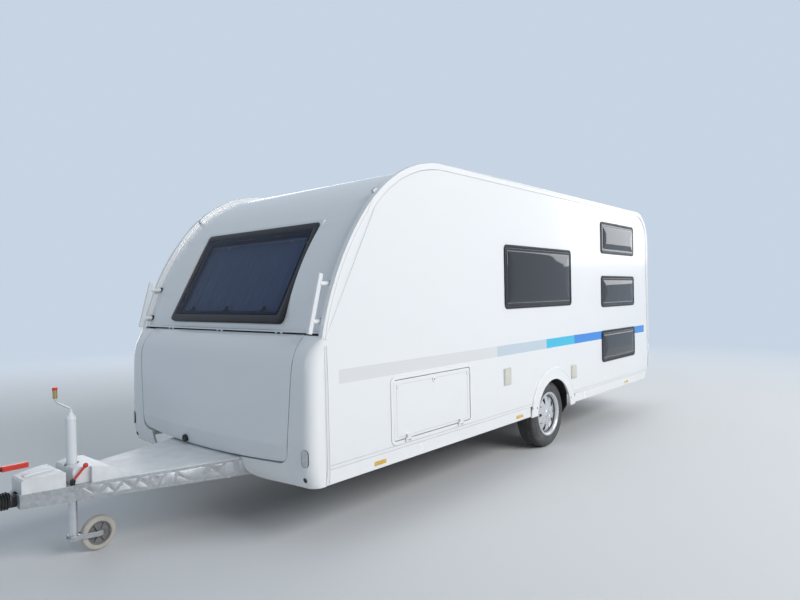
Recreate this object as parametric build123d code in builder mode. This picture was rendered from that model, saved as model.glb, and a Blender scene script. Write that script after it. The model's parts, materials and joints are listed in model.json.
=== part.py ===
from build123d import *
import os
from math import cos, hypot, radians, sin, sqrt

os.makedirs("parts", exist_ok=True)

# Travel caravan with one axle, standing on its wheels and its jockey wheel.
# Millimetres. +X is forward, +Y the caravan's left, +Z up, and the origin is on
# the ground below the middle of the overall length. Places along the caravan are
# given forward of the axle.

# Overall sizes
NOSE_REACH = 4840.0
REAR_REACH = 2800.0
AXLE_X = (REAR_REACH - NOSE_REACH) / 2
WIDTH = 2300.0
HEIGHT = 2578.0
HALF = WIDTH / 2

# Fits and gaps
PIN_PLAY = 0.2
SLIDE_PLAY = 0.3
SEAT_GAP = 0.3
MOVE_GAP = 6.0

# Body outline: the lean is measured from upright, tilting back
BELT_Z = 1300.0
BROW_FOOT_X = 3100.0
BROW_LEAN = 12.0
BROW_TURN = 30.0
BROW_R = 1945.0
CROWN_TURN = 90.0 - BROW_LEAN - BROW_TURN
PANEL_TURN = 33.0
REAR_FACE = 2787.0
REAR_R = 380.0
REAR_TUCK_Z = 770.0
TAIL_X = 2749.0
TAIL_Z = 553.0

# Panels
WALL = 34.0
TRIM_PROUD = 6.0
TRIM_LIP = 50.0
WALL_INSET = 15.0
ROOF_DROP = 35.0
WALL_Z = 480.0
FLOOR_Z = 485.0
FLOOR = 40.0
WALL_OUT = HALF - TRIM_PROUD
WALL_IN = WALL_OUT - WALL
WALL_FRONT = 3085.0
SKIRT_Z = 387.0
SKIRT = 20.0
SKIRT_FRONT = 3079.0
SKIRT_REAR = 2690.0

# Front locker, its lid and the corners beside it
LOCKER_BACK = 2600.0
LOCKER_FACE = 3045.0
LOCKER_SKIN = 25.0
LOCKER_MARGIN = 350.0
LOCKER_HALF = HALF - LOCKER_MARGIN
LOCKER_TOP = 1275.0
LID_SKIN = 25.0
LID_HINGE_X = 3078.0
LID_HINGE_Z = 1331.0
VALANCE_LOW = 375.0
VALANCE_X = 3232.0

# Wheels and axle
WHEEL_R = 334.0
TYRE_WIDTH = 205.0
TYRE_SETBACK = 60.0
TYRE_OUT = HALF - TYRE_SETBACK
RIM_R = 215.0
BEAD_R = 190.0
ARCH_R = 400.0
SPAT_IN_R = 357.0
SPAT_R = 475.0
SPAT_PROUD = 14.0
SPAT_LOW = 378.0
SPAT_Z = 330.0
BOX_R = 425.0
BOX_SKIN = 12.0
BOX_DEPTH = 260.0
BOX_IN = TYRE_OUT - BOX_DEPTH
AXLE_TUBE_X = 160.0
AXLE_TUBE_Z = 320.0
AXLE_FLATS = 90.0
ARM_SETBACK = 290.0
AXLE_HALF = TYRE_OUT - ARM_SETBACK
ARM = 45.0
STUB_R = 22.0
DRUM_R = 130.0

# Chassis
RAIL_Y = 570.0
RAIL_LOW = 385.0
RAIL_FLANGE = 50.0
STEEL = 4.0
RAIL_FRONT = 2950.0
RAIL_REAR = 2550.0
BEAM_NOSE_X = 4440.0
BEAM_NOSE_Y = 80.0
BEAM_FOOT_X = 2900.0
BEAM_NOSE_LOW = 394.0
BEAM_FOOT_LOW = 362.0
BEAM_NOSE_TOP = 475.0
BEAM_TURN_X = 4000.0
BEAM_FLANGE = 46.0

# Jack and its wheel
JACK_X = 4132.0
JACK_R = 30.0
JACK_LOW = 385.0
JACK_TOP = 840.0
LEG_R = 25.0
LEG_LOW = 135.0
LEG_TOP = 590.0
CASTER_R = 107.5
CASTER_TRAIL = 147.0
CASTER_WIDTH = 50.0
FORK_PLATE = 5.0

# Corner steadies
STEADY_SETBACK = 350.0
STEADY_Y = HALF - STEADY_SETBACK
STEADY_LEG = 455.0
STEADY_WIDTH = 70.0
STEADY_PIVOT_Z = 438.0
STEADY_PIN_R = 7.0

# Windows
FRAME_WIDTH = 28.0
FRAME_PROUD = 10.0
FRAME_R = 45.0
PANE_PROUD = 20.0
PANE = 26.0
FRONT_WINDOW_MARGIN = 438.0
FRONT_WINDOW_HALF = HALF - FRONT_WINDOW_MARGIN
FRONT_WINDOW_LOW = (3053.0, 1407.0)
FRONT_WINDOW_HIGH = (2697.0, 2103.0)
FRONT_BORDER = 55.0

# Hinges
KNUCKLE_R = 7.0
PIN_R = 4.0
KNUCKLE = 34.0
KNUCKLE_GAP = 1.0
LID_KNUCKLE_R = 5.0
LID_PIN_R = 2.5


def side_plane(left):
    """Upright plane along the caravan: x forward of the axle, y height, facing the right side."""
    return Plane(origin=(AXLE_X, left, 0), x_dir=(1, 0, 0), z_dir=(0, -1, 0))


def top_plane(height):
    """Level plane: x forward of the axle, y to the left."""
    return Plane(origin=(AXLE_X, 0, height))


def cross_plane(forward):
    """Upright plane across the caravan, facing forward: x to the left, y height."""
    return Plane(origin=(AXLE_X + forward, 0, 0), x_dir=(0, 1, 0), z_dir=(1, 0, 0))


def save(piece, name):
    piece.part.label = name
    export_step(piece.part, f"parts/{name}.step")


def lean(angle):
    """Tangent of the outline, rising and tilting back by the angle."""
    return (-sin(radians(angle)), cos(radians(angle)))


def brow_start(inset):
    """Foot of the sloping front, on the outline set in by the inset."""
    return (
        BROW_FOOT_X - inset * cos(radians(BROW_LEAN)),
        BELT_Z - inset * sin(radians(BROW_LEAN)),
    )


def crown_radius():
    """Radius that brings the front's upper arc up to the roof, tangent to it."""
    up = BROW_LEAN + BROW_TURN
    gained = BROW_R * (sin(radians(up)) - sin(radians(BROW_LEAN)))
    return (HEIGHT - BELT_Z - gained) / (1 - sin(radians(up)))


CROWN_R = crown_radius()


def lower_front(inset):
    """The front's lower arc."""
    return JernArc(
        brow_start(inset), lean(BROW_LEAN), BROW_R - inset, BROW_TURN
    )


def body_outline(inset, low_front, low_rear):
    """Closed face inside the body's outline, set in by the inset, down to the low points."""
    with BuildLine() as outline:
        brow = lower_front(inset)
        crown = JernArc(brow @ 1, brow % 1, CROWN_R - inset, CROWN_TURN)
        ridge = Line(crown @ 1, (REAR_R - REAR_FACE, HEIGHT - inset))
        corner = JernArc(ridge @ 1, (-1, 0), REAR_R - inset, 90)
        Polyline(
            corner @ 1,
            (inset - REAR_FACE, REAR_TUCK_Z),
            *low_rear,
            *low_front,
            brow @ 0,
        )
    make_face(outline.edges())


def front_face(height, inset):
    """How far forward the front's lower arc is at a height, on the outline set in by the inset."""
    middle_x = BROW_FOOT_X - BROW_R * cos(radians(BROW_LEAN))
    middle_z = BELT_Z - BROW_R * sin(radians(BROW_LEAN))
    return middle_x + sqrt((BROW_R - inset) ** 2 - (height - middle_z) ** 2)


def both_sides():
    """Mirrors what is built so far to the other side of the caravan."""
    mirror(about=Plane.XZ)


def window_sketch(window, inset, radius):
    """Rounded outline of one window of a side, set in from its frame's edge."""
    middle = ((window["rear"] + window["front"]) / 2, (window["low"] + window["high"]) / 2)
    with Locations(middle):
        RectangleRounded(
            window["front"] - window["rear"] - 2 * inset,
            window["high"] - window["low"] - 2 * inset,
            radius,
        )


def opening_sketch(opening, grow):
    """Outline of a door or hatch opening, grown on every side."""
    middle = ((opening["rear"] + opening["front"]) / 2, (opening["low"] + opening["high"]) / 2)
    with Locations(middle):
        RectangleRounded(
            opening["front"] - opening["rear"] + 2 * grow,
            opening["high"] - opening["low"] + 2 * grow,
            opening["round"] + grow,
        )


def barrel(plane, middle, length, radius, mode=Mode.ADD):
    """A round bar along the plane's z, centred at a distance along it."""
    with BuildSketch(plane.offset(middle)) as ring:
        Circle(radius)
    extrude(ring.sketch, amount=length / 2, both=True, mode=mode)


def leaf(plane, middle, length, start, end, low, high):
    """A hinge's leaf: its section in the plane's x and y, centred at a distance along z."""
    with BuildSketch(plane.offset(middle)) as plate:
        with Locations(((start + end) / 2, (low + high) / 2)):
            Rectangle(end - start, high - low)
    extrude(plate.sketch, amount=length / 2, both=True)


def moving_hinge(plane, radius, pin, reach, drop):
    """The middle barrel of a hinge with its leaf on the door, along the plane's x."""
    barrel(plane, 0, KNUCKLE, radius)
    leaf(plane, 0, KNUCKLE, 0, reach, -drop, pin)
    barrel(plane, 0, 2 * KNUCKLE, pin + PIN_PLAY, mode=Mode.SUBTRACT)


def fixed_hinge(plane, radius, pin, reach, drop):
    """The pin of a hinge and the barrels beside the moving one, with leaves away from the door."""
    side_length = KNUCKLE / 2
    offset = KNUCKLE / 2 + KNUCKLE_GAP + side_length / 2
    for middle in (-offset, offset):
        barrel(plane, middle, side_length, radius)
        leaf(plane, middle, side_length, -reach, 0, -drop, pin)
    barrel(plane, 0, 2 * offset + side_length, pin)


# Windows of the two sides, named by their frames' edges; the upper bunk's hangs from the roof
WINDOWS = [
    {"side": 1, "rear": -424.0, "front": 920.0, "low": 1422.0, "high": 2000.0},
    {"side": 1, "rear": -2260.0, "front": -1222.0, "low": HEIGHT - 576.0, "high": HEIGHT - 208.0},
    {"side": 1, "rear": -2260.0, "front": -1222.0, "low": 1377.0, "high": 1742.0},
    {"side": 1, "rear": -2260.0, "front": -1222.0, "low": 737.0, "high": 1103.0},
    {"side": -1, "rear": 1600.0, "front": 2560.0, "low": 1422.0, "high": 2000.0},
    {"side": -1, "rear": -760.0, "front": 240.0, "low": 1340.0, "high": 1860.0},
    {"side": -1, "rear": -2250.0, "front": -1750.0, "low": 1500.0, "high": 1900.0},
]

# Doors in the two sides, named by the doorway's edges; the frame lies round them
OPENINGS = {
    "hatch": {
        "side": 1, "rear": 1490.0, "front": 2441.0, "low": 535.0, "high": 970.0, "round": 25.0,
    },
    "cassette": {
        "side": -1, "rear": -2420.0, "front": -2040.0, "low": 600.0, "high": 930.0, "round": 25.0,
    },
    "entrance": {
        "side": -1, "rear": 600.0, "front": 1244.0, "low": 520.0, "high": HEIGHT - 288.0, "round": 60.0,
    },
}
OPENING_FRAME = 26.0
DOOR = 30.0
DOOR_PROUD = 2.0
HINGE_OUT = 15.0
HINGE_IN = 2.0


# Drawbar beams: two folded channels that open inward and taper to plates at the nose
beam_slope = (RAIL_Y - BEAM_NOSE_Y) / (BEAM_NOSE_X - BEAM_FOOT_X)


def beam_outer(forward):
    """Half-width over the beams' outer faces."""
    return BEAM_NOSE_Y + (BEAM_NOSE_X - forward) * beam_slope


def beam_inside(forward, depth):
    """Half-width at a depth into the beams, square to their outer faces."""
    return beam_outer(forward) - depth * hypot(1, beam_slope)


def beam_inner(forward):
    """Half-width between the inner faces of the beams' webs."""
    return beam_inside(forward, STEEL)


def beam_low(forward):
    """Height of the beams' lower edges."""
    fall = (BEAM_NOSE_LOW - BEAM_FOOT_LOW) / (BEAM_NOSE_X - BEAM_FOOT_X)
    return BEAM_NOSE_LOW - (BEAM_NOSE_X - forward) * fall


def beam_top(forward):
    """Height of the beams' upper edges, which fall towards the nose."""
    fall = (FLOOR_Z - BEAM_NOSE_TOP) / (BEAM_NOSE_X - BEAM_TURN_X)
    return FLOOR_Z - max(0, forward - BEAM_TURN_X) * fall


def beam_block(start, depth, inset):
    """Solid between two depths of one beam, set in above and below, up to the rail."""
    foot = BEAM_FOOT_X - 2 * BEAM_FLANGE / beam_slope
    with BuildSketch(side_plane(RAIL_Y)) as profile:
        with BuildLine() as edge:
            Polyline(
                (BEAM_NOSE_X, beam_low(BEAM_NOSE_X) + inset),
                (BEAM_NOSE_X, beam_top(BEAM_NOSE_X) - inset),
                (BEAM_TURN_X, FLOOR_Z - inset),
                (foot, FLOOR_Z - inset),
                (foot, beam_low(foot) + inset),
                close=True,
            )
        make_face(edge.edges())
    extrude(profile.sketch, amount=RAIL_Y)
    with BuildSketch(top_plane(0)) as plan:
        with BuildLine() as strip:
            ends = [
                BEAM_NOSE_X - (RAIL_Y - beam_inside(BEAM_NOSE_X, inward)) / beam_slope
                for inward in (start, depth)
            ]
            Polyline(
                (BEAM_NOSE_X, beam_inside(BEAM_NOSE_X, start)),
                (ends[0], RAIL_Y),
                (ends[1], RAIL_Y),
                (BEAM_NOSE_X, beam_inside(BEAM_NOSE_X, depth)),
                close=True,
            )
        make_face(strip.edges())
    extrude(plan.sketch, amount=2 * FLOOR_Z, mode=Mode.INTERSECT)


with BuildPart() as beam_hollow:
    beam_block(STEEL, BEAM_FLANGE + STEEL, STEEL)

with BuildPart() as drawbar_beams:
    beam_block(0, BEAM_FLANGE, 0)
    add(beam_hollow.part, mode=Mode.SUBTRACT)
    with BuildSketch(cross_plane(BEAM_NOSE_X)):
        nose_inner = beam_inside(BEAM_NOSE_X, BEAM_FLANGE)
        with Locations(((BEAM_NOSE_Y + nose_inner) / 2, (BEAM_NOSE_LOW + BEAM_NOSE_TOP) / 2)):
            Rectangle(BEAM_NOSE_Y - nose_inner, BEAM_NOSE_TOP - BEAM_NOSE_LOW)
    extrude(amount=STEEL)
    both_sides()
save(drawbar_beams, "drawbar_beams")


# Chassis rails with cross members and the steadies' brackets
CROSS_MEMBERS = [2300.0, -1200.0, -2400.0]
CROSS_WIDTH = 70.0
# name, forward of the axle, which way the leg points when stowed
STEADIES = [("front", 2330.0, 1), ("rear", -2060.0, -1)]
STEADY_CHEEK = STEADY_WIDTH / 2 + MOVE_GAP

with BuildPart() as chassis_rails:
    for rail_y, rail_width, rail_z, rail_height in (
        (RAIL_Y, STEEL, RAIL_LOW, FLOOR_Z - RAIL_LOW),
        (RAIL_Y, RAIL_FLANGE, RAIL_LOW, STEEL),
        (RAIL_Y, RAIL_FLANGE, FLOOR_Z - STEEL, STEEL),
    ):
        with BuildSketch(top_plane(rail_z)):
            with Locations(((RAIL_FRONT - RAIL_REAR) / 2, rail_y + rail_width / 2)):
                Rectangle(RAIL_FRONT + RAIL_REAR, rail_width)
        extrude(amount=rail_height)
    for label, forward, way in STEADIES:
        with BuildSketch(top_plane(FLOOR_Z - 2 * STEEL)):
            with Locations((forward, (RAIL_Y + STEADY_Y + STEADY_CHEEK + STEEL) / 2)):
                Rectangle(100, STEADY_Y + STEADY_CHEEK + STEEL - RAIL_Y)
        extrude(amount=STEEL)
        for cheek in (STEADY_Y + STEADY_CHEEK + STEEL, STEADY_Y - STEADY_CHEEK):
            with BuildSketch(side_plane(cheek)):
                with Locations((forward, (STEADY_PIVOT_Z + FLOOR_Z - STEEL) / 2 - 10)):
                    Rectangle(60, FLOOR_Z - STEEL - STEADY_PIVOT_Z + 20)
            extrude(amount=STEEL)
        barrel(
            Plane(origin=(AXLE_X + forward, STEADY_Y, STEADY_PIVOT_Z), z_dir=(0, 1, 0)),
            0,
            2 * STEADY_CHEEK + STEEL,
            STEADY_PIN_R,
        )
    both_sides()
    for forward in CROSS_MEMBERS:
        with BuildSketch(side_plane(RAIL_Y)):
            with Locations((forward, (RAIL_LOW + FLOOR_Z) / 2)):
                Rectangle(CROSS_WIDTH, FLOOR_Z - RAIL_LOW - 20)
            with Locations((forward + STEEL, (RAIL_LOW + FLOOR_Z) / 2)):
                Rectangle(CROSS_WIDTH, FLOOR_Z - RAIL_LOW - 20 - 2 * STEEL, mode=Mode.SUBTRACT)
        extrude(amount=2 * RAIL_Y)
save(chassis_rails, "chassis_rails")


# Torsion axle: six-sided tube, trailing arms, stub axles and seats under the rails
with BuildPart() as axle:
    with BuildSketch(side_plane(AXLE_HALF)):
        with Locations((AXLE_TUBE_X, AXLE_TUBE_Z)):
            RegularPolygon(AXLE_FLATS / 2, 6, major_radius=False, rotation=30)
    extrude(amount=2 * AXLE_HALF)
    with BuildSketch(side_plane(AXLE_HALF + ARM)):
        with BuildLine():
            Polyline(
                (AXLE_TUBE_X + 50, AXLE_TUBE_Z + 30),
                (AXLE_TUBE_X + 50, AXLE_TUBE_Z - 30),
                (AXLE_TUBE_X - 20, AXLE_TUBE_Z - 48),
                (-35, WHEEL_R - 30),
                (-35, WHEEL_R + 30),
                (AXLE_TUBE_X - 20, AXLE_TUBE_Z + 48),
                close=True,
            )
        make_face()
    extrude(amount=ARM)
    with BuildSketch(side_plane(AXLE_HALF + ARM)):
        with Locations((0, WHEEL_R)):
            Circle(STUB_R)
    extrude(amount=-(TYRE_OUT - AXLE_HALF - ARM - 140))
    with BuildSketch(top_plane(AXLE_TUBE_Z)):
        with Locations((AXLE_TUBE_X, RAIL_Y + RAIL_FLANGE / 2)):
            Rectangle(140, RAIL_FLANGE + 20)
    extrude(amount=RAIL_LOW - AXLE_TUBE_Z)
    both_sides()
save(axle, "axle")


# Road wheels: tyre, rim and brake drum turn together
def around_axle(side, profile):
    """Turns a closed profile of (distance from the middle of the caravan, radius) about the axle."""
    plane = Plane(origin=(AXLE_X, 0, WHEEL_R), x_dir=(0, side, 0), z_dir=(side, 0, 0))
    with BuildSketch(plane) as section:
        with BuildLine():
            Polyline(*profile, close=True)
        make_face()
    revolve(section.sketch, axis=Axis((AXLE_X, 0, WHEEL_R), (0, 1, 0)))


tyre_in = TYRE_OUT - TYRE_WIDTH
tyre_mid = TYRE_OUT - TYRE_WIDTH / 2
disc_out = TYRE_OUT - 42
hub_face = disc_out - 12
drum_in = AXLE_HALF + ARM + MOVE_GAP
DRUM_WIDTH = 75.0
SLOTS = 10
for side, side_name in ((1, "left"), (-1, "right")):
    with BuildPart() as tyre:
        around_axle(
            side,
            [
                (tyre_in + 22, BEAD_R),
                (tyre_in + 8, RIM_R + 8),
                (tyre_in, RIM_R + 45),
                (tyre_in + 4, WHEEL_R - 42),
                (tyre_in + 20, WHEEL_R - 14),
                (tyre_mid - 50, WHEEL_R - 3),
                (tyre_mid, WHEEL_R),
                (tyre_mid + 50, WHEEL_R - 3),
                (TYRE_OUT - 20, WHEEL_R - 14),
                (TYRE_OUT - 4, WHEEL_R - 42),
                (TYRE_OUT, RIM_R + 45),
                (TYRE_OUT - 8, RIM_R + 8),
                (TYRE_OUT - 22, BEAD_R),
            ],
        )
    save(tyre, f"tyre_{side_name}")

    with BuildPart() as rim:
        around_axle(
            side,
            [
                (tyre_in + 22, BEAD_R),
                (TYRE_OUT - 22, BEAD_R),
                (TYRE_OUT - 8, RIM_R + 5),
                (TYRE_OUT - 3, RIM_R + 3),
                (TYRE_OUT - 14, BEAD_R - 8),
                (disc_out, BEAD_R - 8),
                (disc_out, 60),
                (disc_out + 18, 45),
                (disc_out + 18, 1),
                (hub_face, 1),
                (hub_face, BEAD_R - 20),
                (hub_face - 18, BEAD_R - 8),
                (tyre_in + 22, BEAD_R - 8),
            ],
        )
        with BuildSketch(Plane(origin=(AXLE_X, side * disc_out, WHEEL_R), z_dir=(0, 1, 0))):
            with PolarLocations(BEAD_R - 42, SLOTS):
                RectangleRounded(34, 26, 10)
        extrude(amount=30, both=True, mode=Mode.SUBTRACT)
    save(rim, f"rim_{side_name}")

    with BuildPart() as drum:
        around_axle(
            side,
            [
                (drum_in, STUB_R + PIN_PLAY),
                (drum_in, DRUM_R),
                (drum_in + DRUM_WIDTH, DRUM_R),
                (drum_in + DRUM_WIDTH, 60),
                (hub_face, 60),
                (hub_face, STUB_R + PIN_PLAY),
            ],
        )
    save(drum, f"drum_{side_name}")


# Floor, notched for the wheel boxes
with BuildPart() as floor:
    with BuildSketch(top_plane(FLOOR_Z)):
        with BuildLine():
            Polyline(
                (LOCKER_BACK, -WALL_IN),
                (LOCKER_BACK, WALL_IN),
                (WALL + ROOF_DROP - REAR_FACE, WALL_IN),
                (WALL + ROOF_DROP - REAR_FACE, -WALL_IN),
                close=True,
            )
        make_face()
        with Locations((0, (BOX_IN + WALL_IN) / 2), (0, -(BOX_IN + WALL_IN) / 2)):
            Rectangle(
                2 * sqrt(BOX_R**2 - (FLOOR_Z - WHEEL_R) ** 2),
                WALL_IN - BOX_IN,
                mode=Mode.SUBTRACT,
            )
    extrude(amount=FLOOR)
save(floor, "floor")


# Wheel boxes with the mud flaps behind the wheels
FLAP_X = -389.0
FLAP_LOW = 285.0
FLAP_CUT = (50.0, 80.0)
with BuildPart() as wheel_boxes:
    with BuildSketch(side_plane(WALL_IN)):
        with Locations((0, WHEEL_R)):
            Circle(BOX_R)
            Circle(BOX_R - BOX_SKIN, mode=Mode.SUBTRACT)
    extrude(amount=WALL_IN - BOX_IN)
    with BuildSketch(side_plane(BOX_IN + BOX_SKIN)):
        with Locations((0, WHEEL_R)):
            Circle(BOX_R)
    extrude(amount=BOX_SKIN)
    with BuildSketch(top_plane(FLOOR_Z)):
        with Locations((0, (BOX_IN + WALL_IN) / 2)):
            Rectangle(3 * BOX_R, 2 * BOX_R)
    extrude(amount=-2 * BOX_R, mode=Mode.SUBTRACT)
    with BuildSketch(cross_plane(FLAP_X)):
        with BuildLine():
            Polyline(
                (BOX_IN + 30, FLOOR_Z + 12),
                (BOX_IN + 30, FLAP_LOW),
                (WALL_IN - 15 - FLAP_CUT[0], FLAP_LOW),
                (WALL_IN - 15, FLAP_LOW + FLAP_CUT[1]),
                (WALL_IN - 15, FLOOR_Z + 12),
                close=True,
            )
        make_face()
    extrude(amount=-BOX_SKIN / 2)
    both_sides()
save(wheel_boxes, "wheel_boxes")


# Side walls with their windows, doorways and wheel arches
for side, side_name in ((1, "left"), (-1, "right")):
    with BuildPart() as wall:
        with BuildSketch(side_plane(WALL_OUT if side > 0 else -WALL_IN)):
            body_outline(
                WALL_INSET,
                [(WALL_FRONT, WALL_Z)],
                [(WALL_INSET - TAIL_X, TAIL_Z), (WALL_INSET - TAIL_X + 45, WALL_Z)],
            )
            for window in WINDOWS:
                if window["side"] == side:
                    with BuildSketch(mode=Mode.SUBTRACT):
                        window_sketch(window, FRAME_WIDTH / 2, FRAME_R - FRAME_WIDTH / 2)
            for opening in OPENINGS.values():
                if opening["side"] == side:
                    with BuildSketch(mode=Mode.SUBTRACT):
                        opening_sketch(opening, 0)
            with Locations((0, SPAT_Z)):
                Circle(ARCH_R, mode=Mode.SUBTRACT)
        extrude(amount=WALL)
    save(wall, f"wall_{side_name}")


# Edge mouldings over the joints between the side walls and the roof, front and rear
with BuildPart() as edge_trims:
    for left, depth, thick in (
        (HALF, TRIM_LIP, TRIM_PROUD),
        (WALL_OUT, WALL_INSET, WALL),
    ):
        with BuildSketch(side_plane(left)):
            body_outline(0, [(2500, REAR_TUCK_Z)], [(-2500, REAR_TUCK_Z)])
            with BuildSketch(mode=Mode.SUBTRACT):
                body_outline(depth, [(2400, REAR_TUCK_Z - 50)], [(-2600, REAR_TUCK_Z - 50)])
            with Locations((1500, (REAR_TUCK_Z + BELT_Z) / 2 - 50)):
                Rectangle(5000, BELT_Z - REAR_TUCK_Z + 100, mode=Mode.SUBTRACT)
        extrude(amount=thick)
    both_sides()
save(edge_trims, "edge_trims")


def crown_point(angle, inset):
    """Point of the upper front arc at a lean, on the outline set in by the inset."""
    up = radians(BROW_LEAN + BROW_TURN)
    middle = BROW_FOOT_X - BROW_R * (cos(radians(BROW_LEAN)) - cos(up)) - CROWN_R * cos(up)
    radius = CROWN_R - inset
    return (
        middle + radius * cos(radians(angle)),
        HEIGHT - CROWN_R + radius * sin(radians(angle)),
    )


# Roof, with both its bends, cut for the rooflights
ROOF_LEAN = BROW_LEAN + BROW_TURN + PANEL_TURN
ROOFLIGHTS = [
    {"middle": 1350.0, "length": 700.0, "width": 500.0},
    {"middle": -250.0, "length": 400.0, "width": 400.0},
    {"middle": -1750.0, "length": 400.0, "width": 400.0},
]
ROOFLIGHT_LIP = 30.0

with BuildPart() as roof:
    with BuildSketch(side_plane(WALL_IN)):
        with BuildLine():
            ends = []
            for inset in (ROOF_DROP, ROOF_DROP + WALL):
                front_bend = JernArc(
                    crown_point(ROOF_LEAN, inset), lean(ROOF_LEAN), CROWN_R - inset, 90 - ROOF_LEAN
                )
                flat = Line(front_bend @ 1, (REAR_R - REAR_FACE, HEIGHT - inset))
                rear_bend = JernArc(flat @ 1, (-1, 0), REAR_R - inset, 90)
                ends.append((front_bend @ 0, rear_bend @ 1))
            Line(ends[0][0], ends[1][0])
            Line(ends[0][1], ends[1][1])
        make_face()
    extrude(amount=2 * WALL_IN)
    for light in ROOFLIGHTS:
        with BuildSketch(top_plane(HEIGHT)):
            with Locations((light["middle"], 0)):
                Rectangle(light["length"] - 2 * ROOFLIGHT_LIP, light["width"] - 2 * ROOFLIGHT_LIP)
        extrude(amount=-ROOF_DROP - 2 * WALL, mode=Mode.SUBTRACT)
save(roof, "roof")

with BuildPart() as rooflights:
    for light in ROOFLIGHTS:
        with BuildSketch(top_plane(HEIGHT - ROOF_DROP)):
            with Locations((light["middle"], 0)):
                RectangleRounded(light["length"], light["width"], 40)
        extrude(amount=ROOF_DROP, taper=30)
save(rooflights, "rooflights")


# Front wall with the flat seat of its window, the ledge over the locker lid and its hinges
window_rise = FRONT_WINDOW_HIGH[1] - FRONT_WINDOW_LOW[1]
window_back = FRONT_WINDOW_LOW[0] - FRONT_WINDOW_HIGH[0]
window_height = hypot(window_rise, window_back)
window_plane = Plane(
    origin=(
        AXLE_X + (FRONT_WINDOW_LOW[0] + FRONT_WINDOW_HIGH[0]) / 2,
        0,
        (FRONT_WINDOW_LOW[1] + FRONT_WINDOW_HIGH[1]) / 2,
    ),
    x_dir=(0, 1, 0),
    z_dir=(window_rise, 0, window_back),
)
FRONT_FRAME = 12.0
FRONT_SEAT_LIP = 24.0
FRONT_WINDOW_R = 70.0
LEDGE_X = 3082.0
LEDGE_Z = LID_HINGE_Z + MOVE_GAP
LEDGE = 14.0
LID_HINGES = [-700.0, 0.0, 700.0]
LID_TOP_Z = LID_HINGE_Z - MOVE_GAP
LID_TOP_MARGIN = 190.0


def lid_hinge_plane(left):
    """The lid's hinge: the lid hangs along x, outward is y, and z is the axis."""
    return Plane(
        origin=(AXLE_X + LID_HINGE_X, left, LID_HINGE_Z), x_dir=(0, 0, -1), z_dir=(0, -1, 0)
    )


with BuildPart() as front_wall:
    with BuildSketch(side_plane(WALL_IN)):
        with BuildLine():
            ends = []
            for inset in (ROOF_DROP, ROOF_DROP + WALL):
                lower = lower_front(inset)
                upper = JernArc(lower @ 1, lower % 1, CROWN_R - inset, PANEL_TURN)
                ends.append((lower @ 0, upper @ 1))
            Line(ends[0][0], ends[1][0])
            Line(ends[0][1], ends[1][1])
        make_face()
    extrude(amount=2 * WALL_IN)
    with BuildSketch(top_plane(LEDGE_Z)):
        with Locations((BROW_FOOT_X, 0)):
            Rectangle(400, 2 * HALF)
    extrude(amount=-WALL_IN, mode=Mode.SUBTRACT)
    with BuildSketch(window_plane.offset(-FRONT_FRAME - WALL)):
        Rectangle(2 * (FRONT_WINDOW_HALF + FRONT_SEAT_LIP), window_height + 2 * FRONT_SEAT_LIP)
    extrude(amount=WALL + FRONT_FRAME / 3)
    with BuildSketch(window_plane.offset(-FRONT_FRAME)):
        RectangleRounded(2 * FRONT_WINDOW_HALF + 4, window_height + 4, FRONT_WINDOW_R)
    extrude(amount=3 * WALL, mode=Mode.SUBTRACT)
    with BuildSketch(window_plane):
        RectangleRounded(
            2 * FRONT_WINDOW_HALF - FRONT_BORDER,
            window_height - FRONT_BORDER,
            FRONT_WINDOW_R - FRONT_BORDER / 2,
        )
    extrude(amount=3 * WALL, both=True, mode=Mode.SUBTRACT)
    with BuildSketch(side_plane(WALL_IN)):
        with BuildLine():
            Polyline(
                (LOCKER_FACE - LOCKER_SKIN, LEDGE_Z),
                (LEDGE_X, LEDGE_Z),
                (LEDGE_X, LEDGE_Z + LEDGE / 2),
                (LOCKER_FACE + 10, LEDGE_Z + LEDGE),
                (LOCKER_FACE - LOCKER_SKIN, LEDGE_Z + LEDGE),
                close=True,
            )
        make_face()
    extrude(amount=2 * WALL_IN)
    for left in LID_HINGES:
        fixed_hinge(lid_hinge_plane(left), LID_KNUCKLE_R, LID_PIN_R, MOVE_GAP + 2, LID_PIN_R)
save(front_wall, "front_wall")


# Rear wall
with BuildPart() as rear_wall:
    with BuildSketch(cross_plane(ROOF_DROP - REAR_FACE)):
        with Locations((0, (HEIGHT - REAR_R + WALL_Z) / 2)):
            Rectangle(2 * WALL_IN, HEIGHT - REAR_R - WALL_Z)
    extrude(amount=WALL)
save(rear_wall, "rear_wall")


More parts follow.
